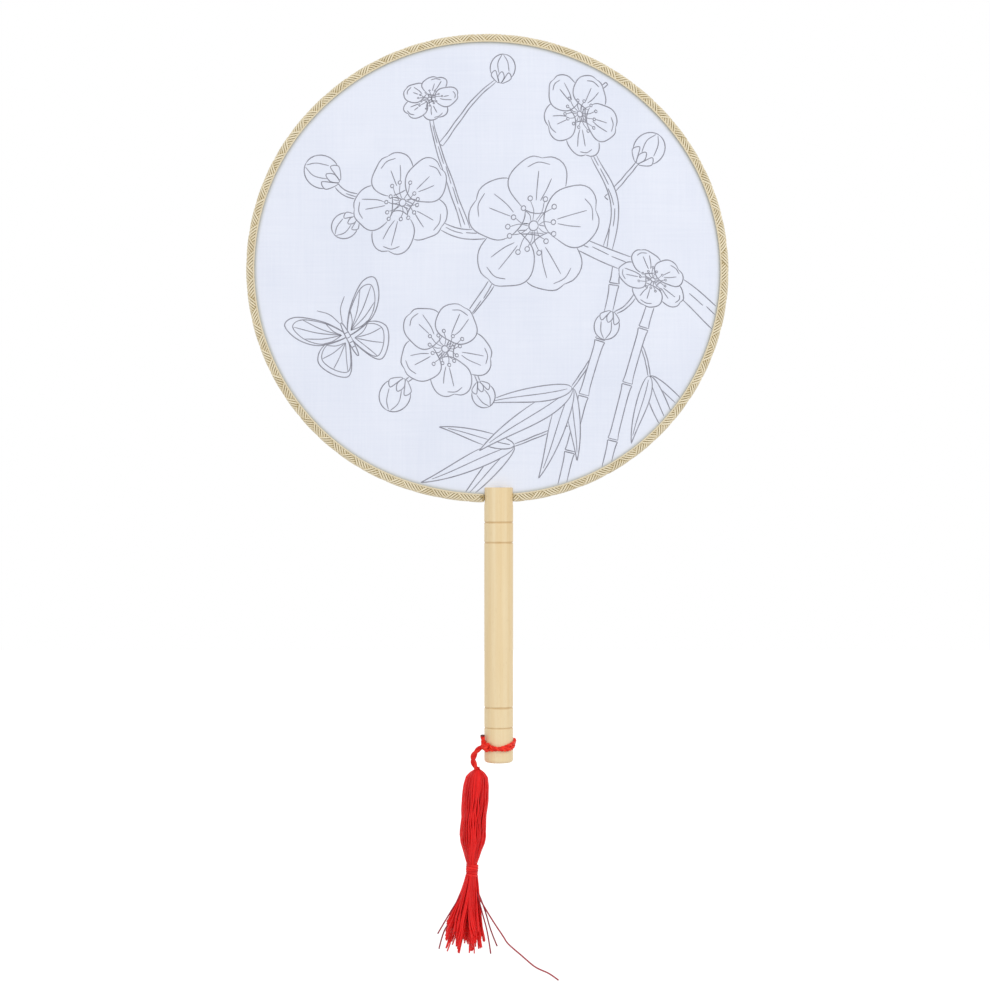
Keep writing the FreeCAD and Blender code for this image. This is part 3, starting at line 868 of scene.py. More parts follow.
@dataclass
class LineDrawing:
    """The print on the front silk: plum blossom on a branch, bamboo leaves and a butterfly, in thin lines.

    Places are millimetres from the middle of the face. What is drawn first is in front, and hides what comes
    after it.
    """

    silk: SilkFace
    pen: float = 0.58
    step: float = 0.7
    # The lines end this far from the edge, where the braid hides their ends.
    margin: float = 3.6
    ink: float = 0.03 * MM
    # The width from which a branch shows its bark.
    bark_from: float = 4.0
    # Width of the lines on a shape, as a share of its outline's.
    detail: float = 0.85
    petals: int = 5
    stamens: int = 13
    # Angle between the leaves of a spray, in radians, and how far a leaf bends aside, as a share of its
    # length.
    leaf_angle: float = 0.42
    leaf_bow: float = 0.1
    # Half a bamboo stem's width, how much more that is at a joint, the length from joint to joint, and the
    # least that is left for the last one.
    culm_half: float = 2.1
    joint_swell: float = 0.55
    joint_gap: int = 30
    joint_least: int = 8
    shapes: list[np.ndarray] = field(default_factory=list)
    lines: list[tuple[np.ndarray, float]] = field(default_factory=list)
    chance: random.Random = field(default_factory=lambda: random.Random(SEED))

    # Blossoms: middle, radius, turn in degrees, and how much each is foreshortened.
    BLOSSOMS = (
        ((24, 22), 37, 12, 0.92),
        ((-44, 34), 28, 40, 0.86),
        ((48, 80), 23, -14, 0.8),
        ((-22, -42), 26, 63, 0.9),
        ((86, -6), 19, 30, 0.72),
        ((-30, 88), 15, 5, 0.75),
    )
    # Buds: middle, size, and the way that each points, in degrees.
    BUDS = (
        ((-86, 50), 8.5, 150),
        ((-74, 22), 6.5, 215),
        ((84, 62), 8.0, 50),
        ((8, 104), 6.5, 80),
        ((-48, -66), 8.0, 240),
        ((-2, -66), 6.0, 290),
        ((62, -30), 6.5, 250),
    )
    # Branches: points of the middle line, with the width at its start and end. The first is the bough.
    BRANCHES = (
        (((124, -30), (96, -8), (64, 6), (24, 20), (-14, 18), (-44, 34), (-72, 38), (-82, 48)), 10.5, 2.2),
        (((62, 6), (66, 34), (54, 62), (50, 84), (62, 96)), 5.2, 1.6),
        (((62, 36), (74, 50), (81, 58)), 2.6, 1.4),
        (((-10, 18), (-20, 46), (-28, 72), (-30, 90)), 4.4, 1.5),
        (((-24, 64), (-8, 86), (5, 98)), 2.4, 1.3),
        (((12, 18), (2, -8), (-14, -30), (-24, -46), (-44, -60)), 5.0, 1.6),
        (((-18, -38), (-8, -52), (-4, -60)), 2.4, 1.3),
        (((-52, 36), (-64, 30), (-70, 26)), 2.4, 1.3),
        (((84, -2), (74, -18), (65, -24)), 2.6, 1.3),
    )
    # Bamboo: sprays of leaves with their root, the way of the middle leaf, lengths, and the stem's start.
    SPRAYS = (
        ((44, -62), 232, (46, 58, 50, 38), (57, -42)),
        ((84, -56), 285, (36, 50, 44), (79, -38)),
        ((14, -92), 196, (40, 52, 44), (45, -80)),
    )
    CULMS = (((36, -124), (50, -66), (63, -22), (68, 6)), ((58, -118), (71, -66), (82, -28), (90, -4)))

    # The butterfly: middle, reach of a wing, and turn in degrees.
    BUTTERFLY = ((-72, -36), 27, 28)
    # Its right half, as shares of a wing's reach: its feeler, and its wings with their roots.
    FEELER = ((0.02, 0.3), (0.12, 0.56), (0.3, 0.74))
    FORE_WING = (
        (0.04, 0.14), (0.3, 0.5), (0.72, 0.82), (0.98, 0.78), (0.88, 0.42), (0.56, 0.12), (0.06, 0.02)
    )
    HIND_WING = ((0.05, 0.02), (0.5, 0.08), (0.74, -0.14), (0.62, -0.46), (0.36, -0.66), (0.16, -0.42))
    WINGS = ((FORE_WING, (0.1, 0.1)), (HIND_WING, (0.1, -0.06)))
    # A blossom's heart and the heads of its stamens, as shares of its radius.
    HEART = 0.07
    ANTHER = 0.035

    def build(self) -> bpy.types.Object:
        """Draw every motif, then print the lines as thin flat strips on the silk."""
        middle, size, turn = self.BUTTERFLY
        self.butterfly(middle, size, math.radians(turn))
        for middle, radius, turn, squash in self.BLOSSOMS:
            self.blossom(np.array(middle), radius, math.radians(turn), squash)
        for middle, size, turn in self.BUDS:
            self.bud(np.array(middle), size, math.radians(turn))
        for points, start, end in self.BRANCHES:
            self.branch(np.array(points, float), start, end)
        for root, turn, lengths, _ in self.SPRAYS:
            self.spray(np.array(root, float), math.radians(turn), lengths)
        for points in self.CULMS:
            self.culm(np.array(points, float))
        for root, _, _, stem in self.SPRAYS:
            middle = (stem[0] + root[0]) / 2 + 0.8, (stem[1] + root[1]) / 2 + 0.4
            self.branch(np.array([stem, middle, root]), 1.5, 1.2)
        return self._print()

    def draw(self, line: np.ndarray, weight: float = 1.0) -> None:
        """Add a pen line, without the stretches that lie behind earlier shapes or under the braid.

        Args:
            line: The line's points.
            weight: Its width, as a share of the pen's.
        """
        line = respaced(line, self.step)
        reach = self.silk.rim.reach(np.arctan2(line[:, 1], line[:, 0])) / MM
        shown = np.hypot(*line.T) < reach - self.margin
        for shape in self.shapes:
            shown &= ~inside(line, shape)
        breaks = np.flatnonzero(np.diff(shown.astype(int))) + 1
        for part, seen in zip(np.split(line, breaks), np.split(shown, breaks)):
            if seen[0] and len(part) > 2:
                self.lines.append((part, weight))

    def shape(self, edge: np.ndarray, details: Sequence[np.ndarray] = (), weight: float = 1.0) -> None:
        """Draw a closed shape, which hides what is drawn after it.

        Args:
            edge: Its outline.
            details: Lines on it.
            weight: The width of its lines, as a share of the pen's.
        """
        for line in details:
            self.draw(line, self.detail * weight)
        self.draw(np.concatenate([edge, edge[:1]]), weight)
        self.shapes.append(edge)

    def blossom(self, middle: np.ndarray, radius: float, turn: float, squash: float) -> None:
        """Draw an open blossom of five round petals, with stamens.

        Args:
            middle: Where it is.
            radius: Its size.
            turn: How it is turned.
            squash: How much it is foreshortened.
        """
        lean = self.chance.uniform(0, math.pi)

        def seen(points: np.ndarray) -> np.ndarray:
            """Put points of the blossom where they are on the face."""
            flat = turned(points, -lean) * (1.0, squash)
            return middle + radius * turned(flat, lean)

        angles = rounds(40)
        ball = polar(1.0, angles)
        self.shape(seen(self.HEART * ball))
        for n in range(self.stamens):
            angle = turn + (n + self.chance.uniform(-0.25, 0.25)) * TURN / self.stamens
            way = polar(1.0, angle)
            reach = self.chance.uniform(0.27, 0.46)
            bow = 0.03 * np.array([-way[1], way[0]]) * self.chance.choice((-1, 1))
            self.shape(seen(way * reach + self.ANTHER * ball), weight=0.9)
            stalk = [way * 0.08, way * reach * 0.55 + bow, way * (reach - self.ANTHER)]
            self.draw(seen(through(stalk)), 0.7)
        for n in range(self.petals):
            self._petal(seen, turn + n * TURN / self.petals, ball, angles)

    def _petal(
        self, seen: Callable[[np.ndarray], np.ndarray], turn: float, ball: np.ndarray, angles: np.ndarray
    ) -> None:
        """Draw one petal: nearly round, with a wavy edge, a notch, two veins and a curled edge.

        Args:
            seen: Puts points of the blossom where they are on the face.
            turn: The petal's bearing.
            ball: Points of a unit circle.
            angles: Their bearings.
        """
        wobble = self.chance.uniform(*ANY_PHASE)
        swell = 1 + 0.045 * np.cos(3 * angles + wobble) + 0.025 * np.cos(5 * angles - wobble)
        notch = 0.1 * np.exp(-(((angles + math.pi) % TURN - math.pi) / 0.22) ** 2)
        edge = ball * (0.415 * (swell - notch))[:, None] * (1.0, 1.06) + (0.6, 0.0)
        details = []
        for lift in (-0.14, 0.02):
            end = self.chance.uniform(0.66, 0.84)
            vein = through([(0.36, 0.4 * lift), (0.52, 0.9 * lift), (end, 1.3 * lift)])
            details.append(seen(turned(vein, turn)))
        # One more draw, which nothing uses, keeps those that follow as they are.
        self.chance.random()
        curl = through([(0.86, -0.24), (0.9, -0.06), (0.84, 0.1)])
        details.append(seen(turned(curl, turn + 0.12)))
        self.shape(seen(turned(edge, turn)), details)

    def bud(self, middle: np.ndarray, size: float, turn: float) -> None:
        """Draw a closed bud with its sepals.

        Args:
            middle: Where it is.
            size: Its radius.
            turn: The way that it points.
        """
        ball = polar(1.0, rounds(30)) * (1.1, 1.0)
        fold = through([(1.0, 0.25), (0.3, 0.45), (-0.5, 0.2), (-0.9, -0.1)])
        other = through([(1.02, 0.1), (0.55, -0.3), (-0.2, -0.55)])

        def seen(points: np.ndarray) -> np.ndarray:
            """Put points of the bud where they are on the face."""
            return middle + size * turned(points, turn)

        for lift in (-0.55, 0.0, 0.55):
            sepal = [(-1.25, 0.25 * lift), (-0.75, lift - 0.25), (-0.3, lift), (-0.75, lift + 0.25)]
            self.shape(seen(through(sepal, closed=True)), weight=0.9)
        self.shape(seen(ball), [seen(fold), seen(other)])

    def branch(self, points: np.ndarray, start: float, end: float) -> None:
        """Draw a knotty branch that thins towards its end.

        Args:
            points: Its middle line.
            start: Its width where it starts.
            end: Its width at the tip.
        """
        line = respaced(through(points), 1.6)
        side = directions(line)[:, ::-1] * (-1.0, 1.0)
        share = np.linspace(0, 1, len(line))
        edges = []
        for sign in (-1, 1):
            knots = np.sin(9.0 * share * len(points) / 4 + 2 * sign) + np.sin(23.0 * share + sign)
            width = (start + (end - start) * share ** 0.8) / 2 * (1 + 0.1 * knots)
            edges.append(line + side * (sign * width)[:, None])
        bark = []
        for n in range(6, len(line) - 6, 7):
            across = self.chance.uniform(-0.28, 0.28) * start * (1 - share[n])
            bark.append(through([line[n + k] + side[n + k] * across * (1 + 0.12 * k) for k in (-3, 0, 3)]))
        self.shape(outline(edges), bark if start > self.bark_from else ())

    def leaf(self, root: np.ndarray, turn: float, length: float, bow: float) -> None:
        """Draw a slender bamboo leaf with its midrib.

        Args:
            root: Where it starts.
            turn: The way that it points.
            length: Its length.
            bow: How far it bends aside, as a share of its length.
        """
        share = np.linspace(0, 1, 36)
        middle = np.stack([share, bow * np.sin(math.pi * share * 0.5) ** 2], axis=1)
        width = 0.085 * np.sin(math.pi * share ** 0.62) ** 0.9 + 0.004 * (1 - share)
        edges = [middle + np.stack([0 * share, sign * width], axis=1) for sign in (-1, 1)]
        midrib = turned(middle[2:-4], turn)
        self.shape(root + length * turned(outline(edges), turn), [root + length * midrib])

    def spray(self, root: np.ndarray, turn: float, lengths: Sequence[float]) -> None:
        """Draw a fan of leaves.

        Args:
            root: Where the leaves meet.
            turn: The way of the spray's middle.
            lengths: The leaves' lengths, from one side to the other.
        """
        for n, length in enumerate(lengths):
            aside = (n - (len(lengths) - 1) / 2) * self.leaf_angle
            self.leaf(root, turn + aside, length, self.leaf_bow * math.copysign(1, aside))

    def culm(self, points: np.ndarray) -> None:
        """Draw a jointed bamboo stem.

        Args:
            points: Its middle line.
        """
        line = respaced(through(points), 1.0)
        side = directions(line)[:, ::-1] * (-1.0, 1.0)
        for first in range(0, len(line) - self.joint_least, self.joint_gap):
            part = slice(first, first + self.joint_gap)
            share = np.linspace(-1, 1, len(line[part]))
            width = (self.culm_half + self.joint_swell * np.abs(share) ** 6)[:, None]
            self.shape(outline([line[part] - side[part] * width, line[part] + side[part] * width]))

    def butterfly(self, middle: tuple[float, float], size: float, turn: float) -> None:
        """Draw a butterfly with open wings.

        Args:
            middle: Where it is.
            size: The reach of a wing.
            turn: How it is turned.
        """
        def seen(points: Sequence, sign: float = 1.0) -> np.ndarray:
            """Put points of the right or the left half where they are on the face."""
            return np.array(middle) + size * turned(np.asarray(points) * (sign, 1.0), turn)

        body = polar(1.0, rounds(28)) * (0.045, 0.36) - (0.0, 0.04)
        self.shape(seen(body), [seen([(-0.04, h), (0.04, h)]) for h in (-0.2, -0.1, 0.0, 0.1)])
        for sign in (1.0, -1.0):
            self.draw(seen(through(self.FEELER), sign), 0.8)
            for wing, root in self.WINGS:
                edge = through(wing, closed=True)
                heart = np.array(root)
                rim = heart + 0.86 * (edge - heart)
                veins = []
                for tip in wing[1:-1]:
                    end = heart + 0.84 * (np.array(tip) - heart)
                    veins.append(seen(through([heart, (heart + end) / 2 + (0.02, -0.03), end]), sign))
                self.shape(seen(edge, sign), [seen(rim, sign), *veins])

    def _print(self) -> bpy.types.Object:
        """Lay the lines on the silk as flat strips, each a little thinner at its ends."""
        mesh = StrandMesh()
        for line, weight in self.lines:
            places = self.silk.rim.centre + line * MM
            strip = upright(places, self.silk.surface(places) - self.ink / 2)
            share = np.abs(np.linspace(-1, 1, len(strip)))
            width = self.pen * MM * weight * (1 - 0.5 * share ** 8)
            normals = np.tile((0.0, -1.0, 0.0), (len(strip), 1))
            mesh.add_tube(strip, width, self.ink, normals, sides=4)
        return add_piece(mesh.mesh("printed_lines"), PrintedInk(), Body.FAN, "face_silk")


@dataclass
class RimBraid:
    """The flat braid folded over the rim: strands from lip to lip, woven so that bands of them zigzag."""

    rim: RimLine
    width: float = 4.5 * MM
    corner: float = 1.5 * MM
    wall: float = 0.9 * MM
    # The real strands are finer. These are as wide as they need to be to show in the render.
    strands: int = 14
    # Strands in one band of the weave.
    band: int = 8
    # Where the zigzag of the bands has its middle, from the front lip.
    band_middle: float = 2.9 * MM
    # How far the zigzag strays from even steps, and over what length.
    wander: float = 1.3 * MM
    wander_length: float = 21 * MM
    # Width of the plain edge along each lip.
    edge: float = 0.9 * MM
    # Painted shade: how much darker a strand is where it runs under the others.
    shade: float = 0.46
    # Tones of the darkest and the lightest strand, and of the plain edge.
    tones: tuple = (0.65, 1.0)
    edge_tone: float = 0.7
    yarn_width: float = 0.97 * MM
    yarn_thickness: float = 0.66 * MM
    # A strand lies twice this lower where it runs under the others.
    lift: float = 0.32 * MM
    core_depth: float = 0.5 * MM
    # The ends' gap to the handle, and the length over which they are drawn in there.
    end_gap: float = 0.1 * MM
    end_round: float = 1.2 * MM
    step: float = 0.76 * MM
    # How sharply a strand turns back at a lip: 1 is a corner.
    lip_turn: float = 0.995
    core_inset: float = 0.3 * MM
    core_stations: int = 280
    # The loose end: its place from the front lip, its two radii, its width and its thickness.
    curl_place: float = 2.232 * MM
    curl_reach: float = 1.0 * MM
    curl_length: float = 0.8 * MM
    curl_width: float = 0.7 * MM
    curl_thickness: float = 0.5 * MM
    yarn: Yarn = Yarn("braid_yarn_gold", "#F9EED2", "#B89F68", sheen=0.1, twist_pitch=1.1 * MM)
    # The core's darker gold is painted shade, which shows in the gaps between the strands.
    shaded_core_yarn: Yarn = Yarn("braid_core_painted_shade", "#C2AC7A", "#A5925E", sheen=0.0)

    def __post_init__(self) -> None:
        """Read the braid's depth and place from its solid."""
        self.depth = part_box("rim_braid")[1].y
        self.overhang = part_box("rim_braid")[1].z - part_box("front_silk")[1].z
        self.flat = self.width - self.corner
        self.bend = math.pi / 2 * self.corner
        self.span = 2 * (self.flat + self.bend + self.depth - self.corner)
        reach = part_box("handle")[1].x + self.end_gap
        self.start = self.rim.crossing(reach)
        self.stop = self.rim.crossing(-reach)

    def section(self, across: float | np.ndarray) -> tuple[np.ndarray, np.ndarray, np.ndarray, np.ndarray]:
        """Follow the braid's outside from the front lip round the back of the rim to the rear lip.

        Args:
            across: Length from the front lip.

        Returns:
            The distance outward from the rim's edge, the Y, and the surface's normal in both.
        """
        rear = across > self.span / 2
        run = np.where(rear, self.span - across, across)
        angle = np.clip((run - self.flat) / self.corner, 0.0, math.pi / 2)
        out = np.minimum(run, self.flat) - self.width + self.corner * np.sin(angle)
        y = -self.depth + self.corner * (1 - np.cos(angle)) + np.maximum(run - self.flat - self.bend, 0.0)
        sign = np.where(rear, -1.0, 1.0)
        return out, sign * y, np.sin(angle), -sign * np.cos(angle)

    def place(
        self, run: np.ndarray, across: float | np.ndarray, height: float | np.ndarray
    ) -> tuple[np.ndarray, np.ndarray]:
        """Find points on the braid.

        Args:
            run: Lengths along the rim.
            across: Length across the braid, from the front lip, in all or at each point.
            height: Height over the braid's outside, in all or at each point.

        Returns:
            The points and the surface's normals.
        """
        out, y, lean_out, lean_y = self.section(across)
        spot, outward = self.rim.at(run, self.overhang + out + height * lean_out)
        return upright(spot, y + height * lean_y), upright(outward * lean_out[..., None], lean_y)

    def build(self) -> None:
        """Lay the strands over a plain core, and curl one loose end beside the handle."""
        chance = random.Random(SEED)
        mesh = StrandMesh()
        run = np.arange(self.start, self.stop, self.step)
        pitch = 2 * self.span / self.strands
        for strand in range(self.strands):
            across, over = self._weave(run, (strand + 0.5) * pitch, pitch * self.band)
            near = np.minimum(run - self.start, self.stop - run)
            tuck = self.lift * np.exp(-((near / self.end_round) ** 2))
            under = (1 - np.tanh(3 * over)) / 2
            points, normals = self.place(run, across, -2 * self.lift * under - self.yarn_thickness / 2 - tuck)
            # Strands are painted darker where they run under the others, as painted shade.
            tone = chance.uniform(*self.tones) - self.shade * under
            mesh.add_tube(points, self.yarn_width, self.yarn_thickness, normals, tone)
        for across in (self.edge / 2, self.span - self.edge / 2):
            points, normals = self.place(run, across, -0.3 * self.yarn_thickness)
            mesh.add_tube(points, self.edge, self.yarn_thickness, normals, self.edge_tone)
        self._curl(mesh)
        add_piece(mesh.mesh("rim_braid_strands"), self.yarn, Body.FAN, "gold_braid", "rim_braid")
        self._core()

    def _weave(self, run: np.ndarray, shift: float, cell: float) -> tuple[np.ndarray, np.ndarray]:
        """Follow one strand's zigzag and tell where it lies on top.

        Args:
            run: Lengths along the rim.
            shift: How far along this strand starts.
            cell: Length of one cell of the weave along the rim.

        Returns:
            The length across the braid, and a wave that is positive where the strand lies over the others.
        """
        phase = math.pi * (run + shift) / self.span
        across = self.span * (0.5 - np.arcsin(self.lip_turn * np.cos(phase)) / math.pi)
        rising = np.sin(phase) > 0
        aside = across - self.band_middle + cell / 4
        along = run + self.wander * np.sin(run / self.wander_length)
        left = (along - aside) / cell
        right = (along + aside) / cell
        going = np.sin(math.pi * (np.floor(left) + right))
        coming = -np.sin(math.pi * (np.floor(right) + left))
        return across, np.where(rising, going, coming)

    def _curl(self, mesh: StrandMesh) -> None:
        """Add the strand end that curls out beside the handle, on the left."""
        turns = np.linspace(0, 0.75 * TURN, 18)
        run = self.stop - self.curl_reach + self.curl_length * np.sin(turns)
        across = self.curl_place + self.curl_reach * np.cos(turns)
        height = np.linspace(-0.1, 0.35, len(turns)) * MM
        points, normals = self.place(run, across, height)
        mesh.add_tube(points, self.curl_width, self.curl_thickness, normals, tone=0.0)

    def _core(self) -> None:
        """Sweep the plain cloth core, coloured darker than the strands as painted shade in the gaps between
        them.
        """
        across = np.linspace(self.core_inset, self.span - self.core_inset, 18)
        out, y, lean_out, lean_y = self.section(across)
        outside = np.stack([out - self.core_depth * lean_out, y - self.core_depth * lean_y], axis=1)
        lip = self.core_inset - self.width
        floor = self.depth - self.wall
        channel = [(lip, floor), (-self.wall, floor), (-self.wall, -floor), (lip, -floor)]
        run = np.linspace(self.start, self.stop, self.core_stations)
        lines = []
        for step, y in np.concatenate([outside, channel]):
            spots, _ = self.rim.at(run, self.overhang + step)
            lines.append(upright(spots, y))
        count = len(lines)
        corners = np.stack(lines, axis=1).reshape(-1, 3)
        # The section runs the other way round than a strand's, so its faces are turned over.
        faces = [face[:1] + face[:0:-1] for face in ring_faces(len(run), count)]
        faces += [list(range(count))[::-1], list(range(len(corners) - count, len(corners)))]
        mesh = new_mesh("rim_braid_core", corners, faces, Yarn.TONE, np.zeros(len(corners)))
        mesh.uv_layers.new(name=Yarn.THREAD)
        add_piece(mesh, self.shaded_core_yarn, Body.FAN, "gold_braid")


@dataclass
class HandleAndHoop:
    """The turned handle and the wire hoop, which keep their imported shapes."""

    smooth_angle: float = math.radians(35)

    def dress(self) -> None:
        """Give both their finishes and smooth their round faces."""
        for node, finish in (("handle", TurnedBamboo()), ("hoop_wire", DrawnSteel())):
            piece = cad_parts[node]
            piece.data.materials.clear()
            piece.data.materials.append(finish.material())
            piece.data.shade_smooth()
            piece.data.set_sharp_from_angle(angle=self.smooth_angle)
            LOG.info("%s keeps its packed shape", node)


CORD_RED = Yarn("viscose_cord_red", "#FF3C24", "#DA120E", 0.03, 0.4, 0.24, twist_pitch=1.3 * MM)
THREAD_RED = Yarn("viscose_thread_red", "#F82624", "#CA080A", 0.02, 0.34, 0.22, twist_pitch=1.2 * MM)
STRAY_RED = Yarn("viscose_thread_stray", "#B01C30", "#861226", sheen=0.0)
MELTED_RED = Yarn("viscose_melted", "#6E1A18", "#4A1010", sheen=0.0, roughness=0.3, streaks=3.0)
LOOSE_RED = LooseYarn()


@dataclass
class TieLoop:
    """The cord tied round the handle: two turns twisted about each other, a knot, and a cut tail."""

    cord: float = 2.2 * MM
    pitch: float = 3.9 * MM
    height: float = -61.2 * MM
    dip: float = 2.4 * MM
    spread: float = 2.1 * MM
    crossing_lift: float = 0.55
    # How much of its thickness the cord keeps where it is drawn tight on the handle.
    pressed: float = 0.6
    # Half twists of the two turns about each other. An odd count lets one turn run on into the other.
    half_twists: int = 3
    twist_start: float = math.radians(-5)
    # One unit of the overhand knot's figure, and how far its middle is off the knot's solid.
    knot_unit: float = 1.0 * MM / 2.6
    knot_offset: tuple = (0.8 * MM, -0.4 * MM, 0.0)
    # Where the half hitch lies, from the knot, in radians.
    hitch_turn: float = 0.42
    tail: float = 5.0 * MM
    tail_width: float = 2.45 * MM
    # The tail's melted tip: places along it from its end in millimetres, with the width there as a share of
    # the tail's.
    melt: tuple = ((-0.5, 0.9), (-0.2, 1.04), (0.15, 0.98), (0.4, 0.68), (0.5, 0.25))

    def __post_init__(self) -> None:
        """Read the handle's radius and the knot's place."""
        self.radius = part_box("handle")[1].x + self.cord / 2
        low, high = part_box("tie_knot")
        lump = high.x - low.x
        self.knot = np.array([(low.x + high.x) / 2, (low.y + high.y) / 2, low.z + lump / 2])
        self.bearing = math.atan2(self.knot[1], self.knot[0]) % TURN

    def turns(self) -> np.ndarray:
        """Return the line of both turns, from the knot and back to it."""
        angle = np.linspace(0, 2 * TURN, 320)
        bearing = self.bearing + angle
        twist = self.twist_start + self.half_twists * angle / 2
        radius = self.radius + self.crossing_lift * self.cord * np.maximum(np.sin(twist), 0.0) ** 2
        z = self.height + self.dip * np.sin(bearing) + self.spread / 2 * np.cos(twist)
        return np.column_stack([polar(radius, bearing), z])

    def build(self) -> None:
        """Wind the cord, tie its knot and leave its tail."""
        winding = StrandMesh()
        winding.add_cord(self.turns(), self.cord, 2, self.pitch, tone=0.65, squeeze=0.15, contrast=0.7)
        winding.corners = [self._press(ply) for ply in winding.corners]
        add_piece(winding.mesh("tie_cord_turns"), CORD_RED, Body.LOOP, "red_cord", "tie_cord")
        knot = StrandMesh()
        knot.add_cord(self._overhand(), self.cord, 2, self.pitch)
        knot.add_cord(self._hitch(self.bearing + self.hitch_turn), self.cord, 2, self.pitch, tone=0.6)
        tail = self._tail()
        knot.add_cord(tail, self.tail_width, 2, self.pitch)
        add_piece(knot.mesh("tie_knot_cord"), CORD_RED, Body.LOOP, "red_cord", "tie_knot")
        tip = StrandMesh()
        way = unit(tail[-1] - tail[-2])
        reach, width = np.array(self.melt).T
        tip.add_tube(tail[-1] + np.outer(reach * MM, way), width * self.tail_width, tone=0.4, sides=10)
        add_piece(tip.mesh("tail_tip"), MELTED_RED, Body.LOOP, "red_cord")

    def _press(self, corners: np.ndarray) -> np.ndarray:
        """Flatten the wound cord against the handle."""
        handle = self.radius - self.cord / 2
        reach = np.hypot(corners[:, 0], corners[:, 1])
        flat = np.where(reach > handle, handle + self.pressed * (reach - handle), reach)
        return corners * np.stack([flat / reach, flat / reach, np.ones(len(reach))], axis=1)

    def _overhand(self) -> np.ndarray:
        """Return the line of an overhand knot, which faces outward from the handle."""
        turn = np.linspace(0, TURN, 90)
        aside = np.sin(turn) + 2 * np.sin(2 * turn)
        up = np.cos(turn) - 2 * np.cos(2 * turn)
        rise = -1.3 * np.sin(3 * turn)
        out = np.array([math.cos(self.bearing), math.sin(self.bearing), 0.0])
        side = np.array([-out[1], out[0], 0.0])
        line = np.outer(aside, side) + np.outer(up, (0, 0, 1.0)) + np.outer(rise, out)
        return self.knot + self.knot_offset + self.knot_unit * line

    def _hitch(self, bearing: float) -> np.ndarray:
        """Return a half hitch's line over both turns, where the knot draws them together."""
        angle = np.linspace(-0.62 * math.pi, 0.62 * math.pi, 24)
        middle = self.height + self.dip * math.sin(bearing)
        lift = self.cord * (1.25 * np.cos(angle) - 0.2)
        radius = self.radius + np.maximum(lift, 0.0)
        lean = bearing + 0.05 * np.sin(angle)
        z = middle + 0.75 * self.cord * np.sin(angle)
        return np.column_stack([polar(radius, lean), z])

    def _tail(self) -> np.ndarray:
        """Return the cut tail's line, up from the knot and leaning a little to the left."""
        up = self.knot + np.array([0.7, -0.3, 0.6]) * MM
        route = [up, up + (0, 0, 0.35 * self.tail), up + (-0.3 * MM, 0, 0.7 * self.tail)]
        return smooth_line([*route, up + (-0.4 * MM, -0.2 * MM, self.tail)])


@dataclass
class HangingCord:
    """The short doubled cord from the knot to the tassel."""

    loop: TieLoop
    diameter: float = 3.3 * MM
    pitch: float = 8.6 * MM
    # Middle points of its route, from the knot, as X and Z.
    bow: tuple = ((-0.0022, -0.0016), (-0.0043, -0.0046), (-0.0048, -0.0074), (-0.0037, -0.0101))

    def build(self) -> None:
        """Twist the cord along its route, with both ends inside the knots."""
        knot = self.loop.knot
        middle = [knot + (x, 0, z) for x, z in self.bow]
        line = smooth_line([knot + (0.0008, 0, 0.0004), *middle, box_middle("gather_knot")])
        mesh = StrandMesh()
        mesh.add_cord(line, self.diameter, 2, self.pitch, tone=0.15, taper=0.3, start=0.9)
        add_piece(mesh.mesh("hanging_cord_plies"), CORD_RED, Body.HANGER, "red_cord", "hanging_cord")


